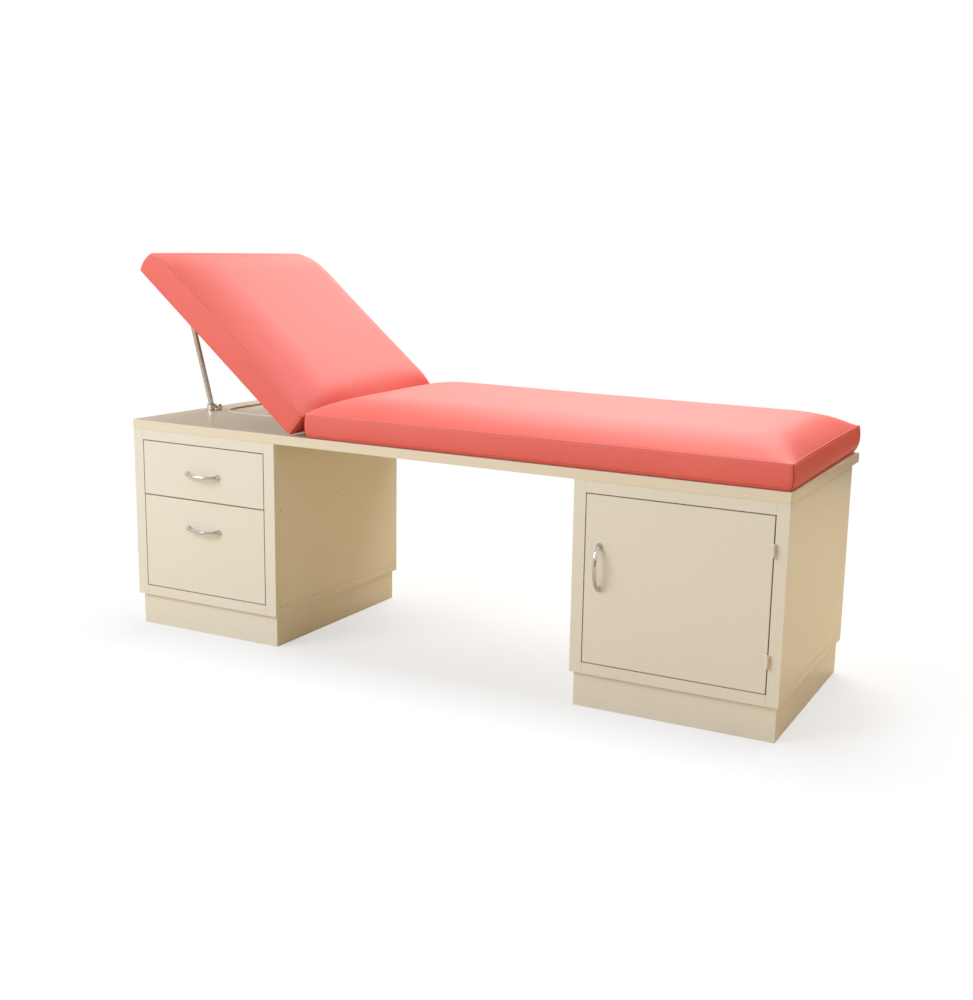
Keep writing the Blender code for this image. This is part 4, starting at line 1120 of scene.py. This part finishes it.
class EXAMTABLE_OT_hardware(Operator):
    """Gives the pulls, the prop, the hinges and the rails their plating, and the panel its plywood"""

    bl_idname = "examtable.hardware"
    bl_label = "Metal and plywood"

    def execute(self, context):
        look = context.scene.exam_metal
        finishes = {
            "chrome": plated("pull_chrome", look.chrome, 0.09, (0.36, 0.31, 0.24)),
            # The rod's brown tarnish is partly real tarnish, partly a painted reflection of the backrest's
            # shaded underside
            "prop_rod": plated("prop_chrome", look.rod, 0.10, (0.33, 0.22, 0.15)),
            "zinc": plated("zinc_plate", look.zinc, 0.34, (0.28, 0.27, 0.24), (1.0, 30.0, 1.0)),
            "plywood": plywood(look),
            "coral_vinyl": vinyl("coral_vinyl_rails", context.scene.exam_pads),
        }
        for name, slot in SLOT_OF.items():
            if slot in finishes:
                NODES[name].material_slots[0].material = finishes.get(name, finishes[slot])
        return {"FINISHED"}


class EXAMTABLE_OT_stage(Operator):
    """Sets up the camera, the lamps and a white floor"""

    bl_idname = "examtable.stage"
    bl_label = "Stage"

    def execute(self, context):
        look = context.scene.exam_stage
        scene = context.scene
        scene.view_settings.view_transform = "Standard"
        camera = bpy.data.objects.new("camera", bpy.data.cameras.new("camera"))
        scene.collection.objects.link(camera)
        camera.location, camera.rotation_euler = look.camera_place, look.camera_turn
        camera.data.lens, camera.data.sensor_width = look.lens, 36.0
        camera.data.shift_x, camera.data.shift_y = look.shift
        camera.data.clip_end = 60.0
        scene.camera = camera
        for name, (place, aim, size, colour) in LAMPS.items():
            self.lamp(f"{name}_lamp", place, aim, size, colour, getattr(look, name))
        self.floor(look)
        self.room(scene, look)
        return {"FINISHED"}

    def lamp(self, name, place, aim, size, colour, power):
        data = bpy.data.lights.new(name, "AREA")
        data.shape = "RECTANGLE"
        data.size, data.size_y = size
        data.color, data.energy = colour, power
        lamp = bpy.data.objects.new(name, data)
        bpy.context.scene.collection.objects.link(lamp)
        lamp.visible_camera = False
        lamp.location = place
        lamp.rotation_euler = (Vector(aim) - Vector(place)).to_track_quat("-Z", "Y").to_euler()

    def floor(self, look):
        deselect()
        bpy.ops.mesh.primitive_circle_add(vertices=96, radius=FLOOR_RADIUS, fill_type="NGON")
        floor = bpy.context.object
        floor.name = floor.data.name = "studio_floor"
        graph = Graph("studio_floor")
        x, y, _ = graph.along()
        shifted = [[value + by for value, by in zip(corner, look.shade_shift)] for corner in CAD_BOX]
        away = outside(graph, x, y, *shifted)
        seen = graph.node("ShaderNodeLightPath", output="Is Camera Ray")
        mirrored = graph.node("ShaderNodeLightPath", output="Is Glossy Ray")
        through = graph.node("ShaderNodeLightPath", output="Is Transmission Ray")
        grain = graph.noise(graph.place(), 60.0)
        shade = graph.blend(grain, look.floor, darker(look.floor, 0.98))
        matt = graph.node("ShaderNodeBsdfDiffuse", None, {"Color": shade})
        pale = graph.node("ShaderNodeBsdfDiffuse", None, {"Color": SHADE_COLOUR})
        white = graph.node("ShaderNodeEmission", None, {"Color": WHITE, "Strength": 1.0})
        share = look.floor_shade * (1.0 - graph.limit((away - SHADE_START) / look.floor_fade))
        shown = graph.node("ShaderNodeMixShader", None, {0: share, 1: white, 2: pale})
        white_share = graph.limit(seen + (mirrored + through) * MIRRORED_FLOOR)
        surface = graph.node("ShaderNodeMixShader", None, {0: white_share, 1: matt, 2: shown})
        graph.node("ShaderNodeOutputMaterial", None, {"Surface": surface})
        floor.data.materials.append(graph.material)

    def room(self, scene, look):
        """Even light that is brighter and cooler from the left front, behind a white background."""
        scene.world = bpy.data.worlds.new("studio")
        graph = Graph("studio", scene.world)
        where = graph.node("ShaderNodeTexCoord", output="Generated")
        towards = graph.node(
            "ShaderNodeVectorMath", {"operation": "DOT_PRODUCT"}, {0: where, 1: BRIGHT_SIDE}, output=1
        )
        lit = graph.limit(0.5 + towards * 0.55)
        colour = graph.blend(lit, ROOM_WARM, ROOM_COOL)
        strength = look.room_dim + lit * lit * (look.room_bright - look.room_dim)
        even = graph.node("ShaderNodeBackground", None, {"Color": colour, "Strength": strength})
        white = graph.node("ShaderNodeBackground", None, {"Color": WHITE, "Strength": 1.0})
        seen = graph.node("ShaderNodeLightPath", output="Is Camera Ray")
        mirrored = graph.node("ShaderNodeLightPath", output="Is Glossy Ray")
        shown = graph.limit(seen + mirrored * graph.limit((lit - 0.50) * 1.6) * 0.45)
        surface = graph.node("ShaderNodeMixShader", None, {0: shown, 1: even, 2: white})
        graph.node("ShaderNodeOutputWorld", None, {"Surface": surface})


class EXAMTABLE_PT_looks(Panel):
    """Lists the steps that dress the table"""

    bl_idname = "EXAMTABLE_PT_looks"
    bl_label = "Examination Table"
    bl_space_type = "VIEW_3D"
    bl_region_type = "UI"
    bl_category = "Exam Table"

    def draw(self, context):
        column = self.layout.column(align=True)
        for step in STEPS:
            column.operator(step.bl_idname)
        for group in SETTINGS:
            settings = getattr(context.scene, group)
            box = self.layout.box()
            for name in settings.__annotations__:
                box.prop(settings, name)


SETTINGS = {
    "exam_pads": PadSettings,
    "exam_enamel": EnamelSettings,
    "exam_metal": MetalSettings,
    "exam_stage": StageSettings,
}
STEPS = (
    EXAMTABLE_OT_stage,
    EXAMTABLE_OT_enamel,
    EXAMTABLE_OT_hardware,
    EXAMTABLE_OT_seat,
    EXAMTABLE_OT_backrest,
)


def register():
    for name, group in SETTINGS.items():
        bpy.utils.register_class(group)
        setattr(bpy.types.Scene, name, PointerProperty(type=group))
    for made in (*STEPS, EXAMTABLE_PT_looks):
        bpy.utils.register_class(made)


def unregister():
    for made in (EXAMTABLE_PT_looks, *reversed(STEPS)):
        bpy.utils.unregister_class(made)
    for name, group in reversed(SETTINGS.items()):
        delattr(bpy.types.Scene, name)
        bpy.utils.unregister_class(group)


def main():
    register()
    bpy.ops.examtable.stage()
    bpy.ops.examtable.enamel()
    bpy.ops.examtable.hardware()
    bpy.ops.examtable.seat()
    bpy.ops.examtable.backrest()


if __name__ == "__main__":
    main()
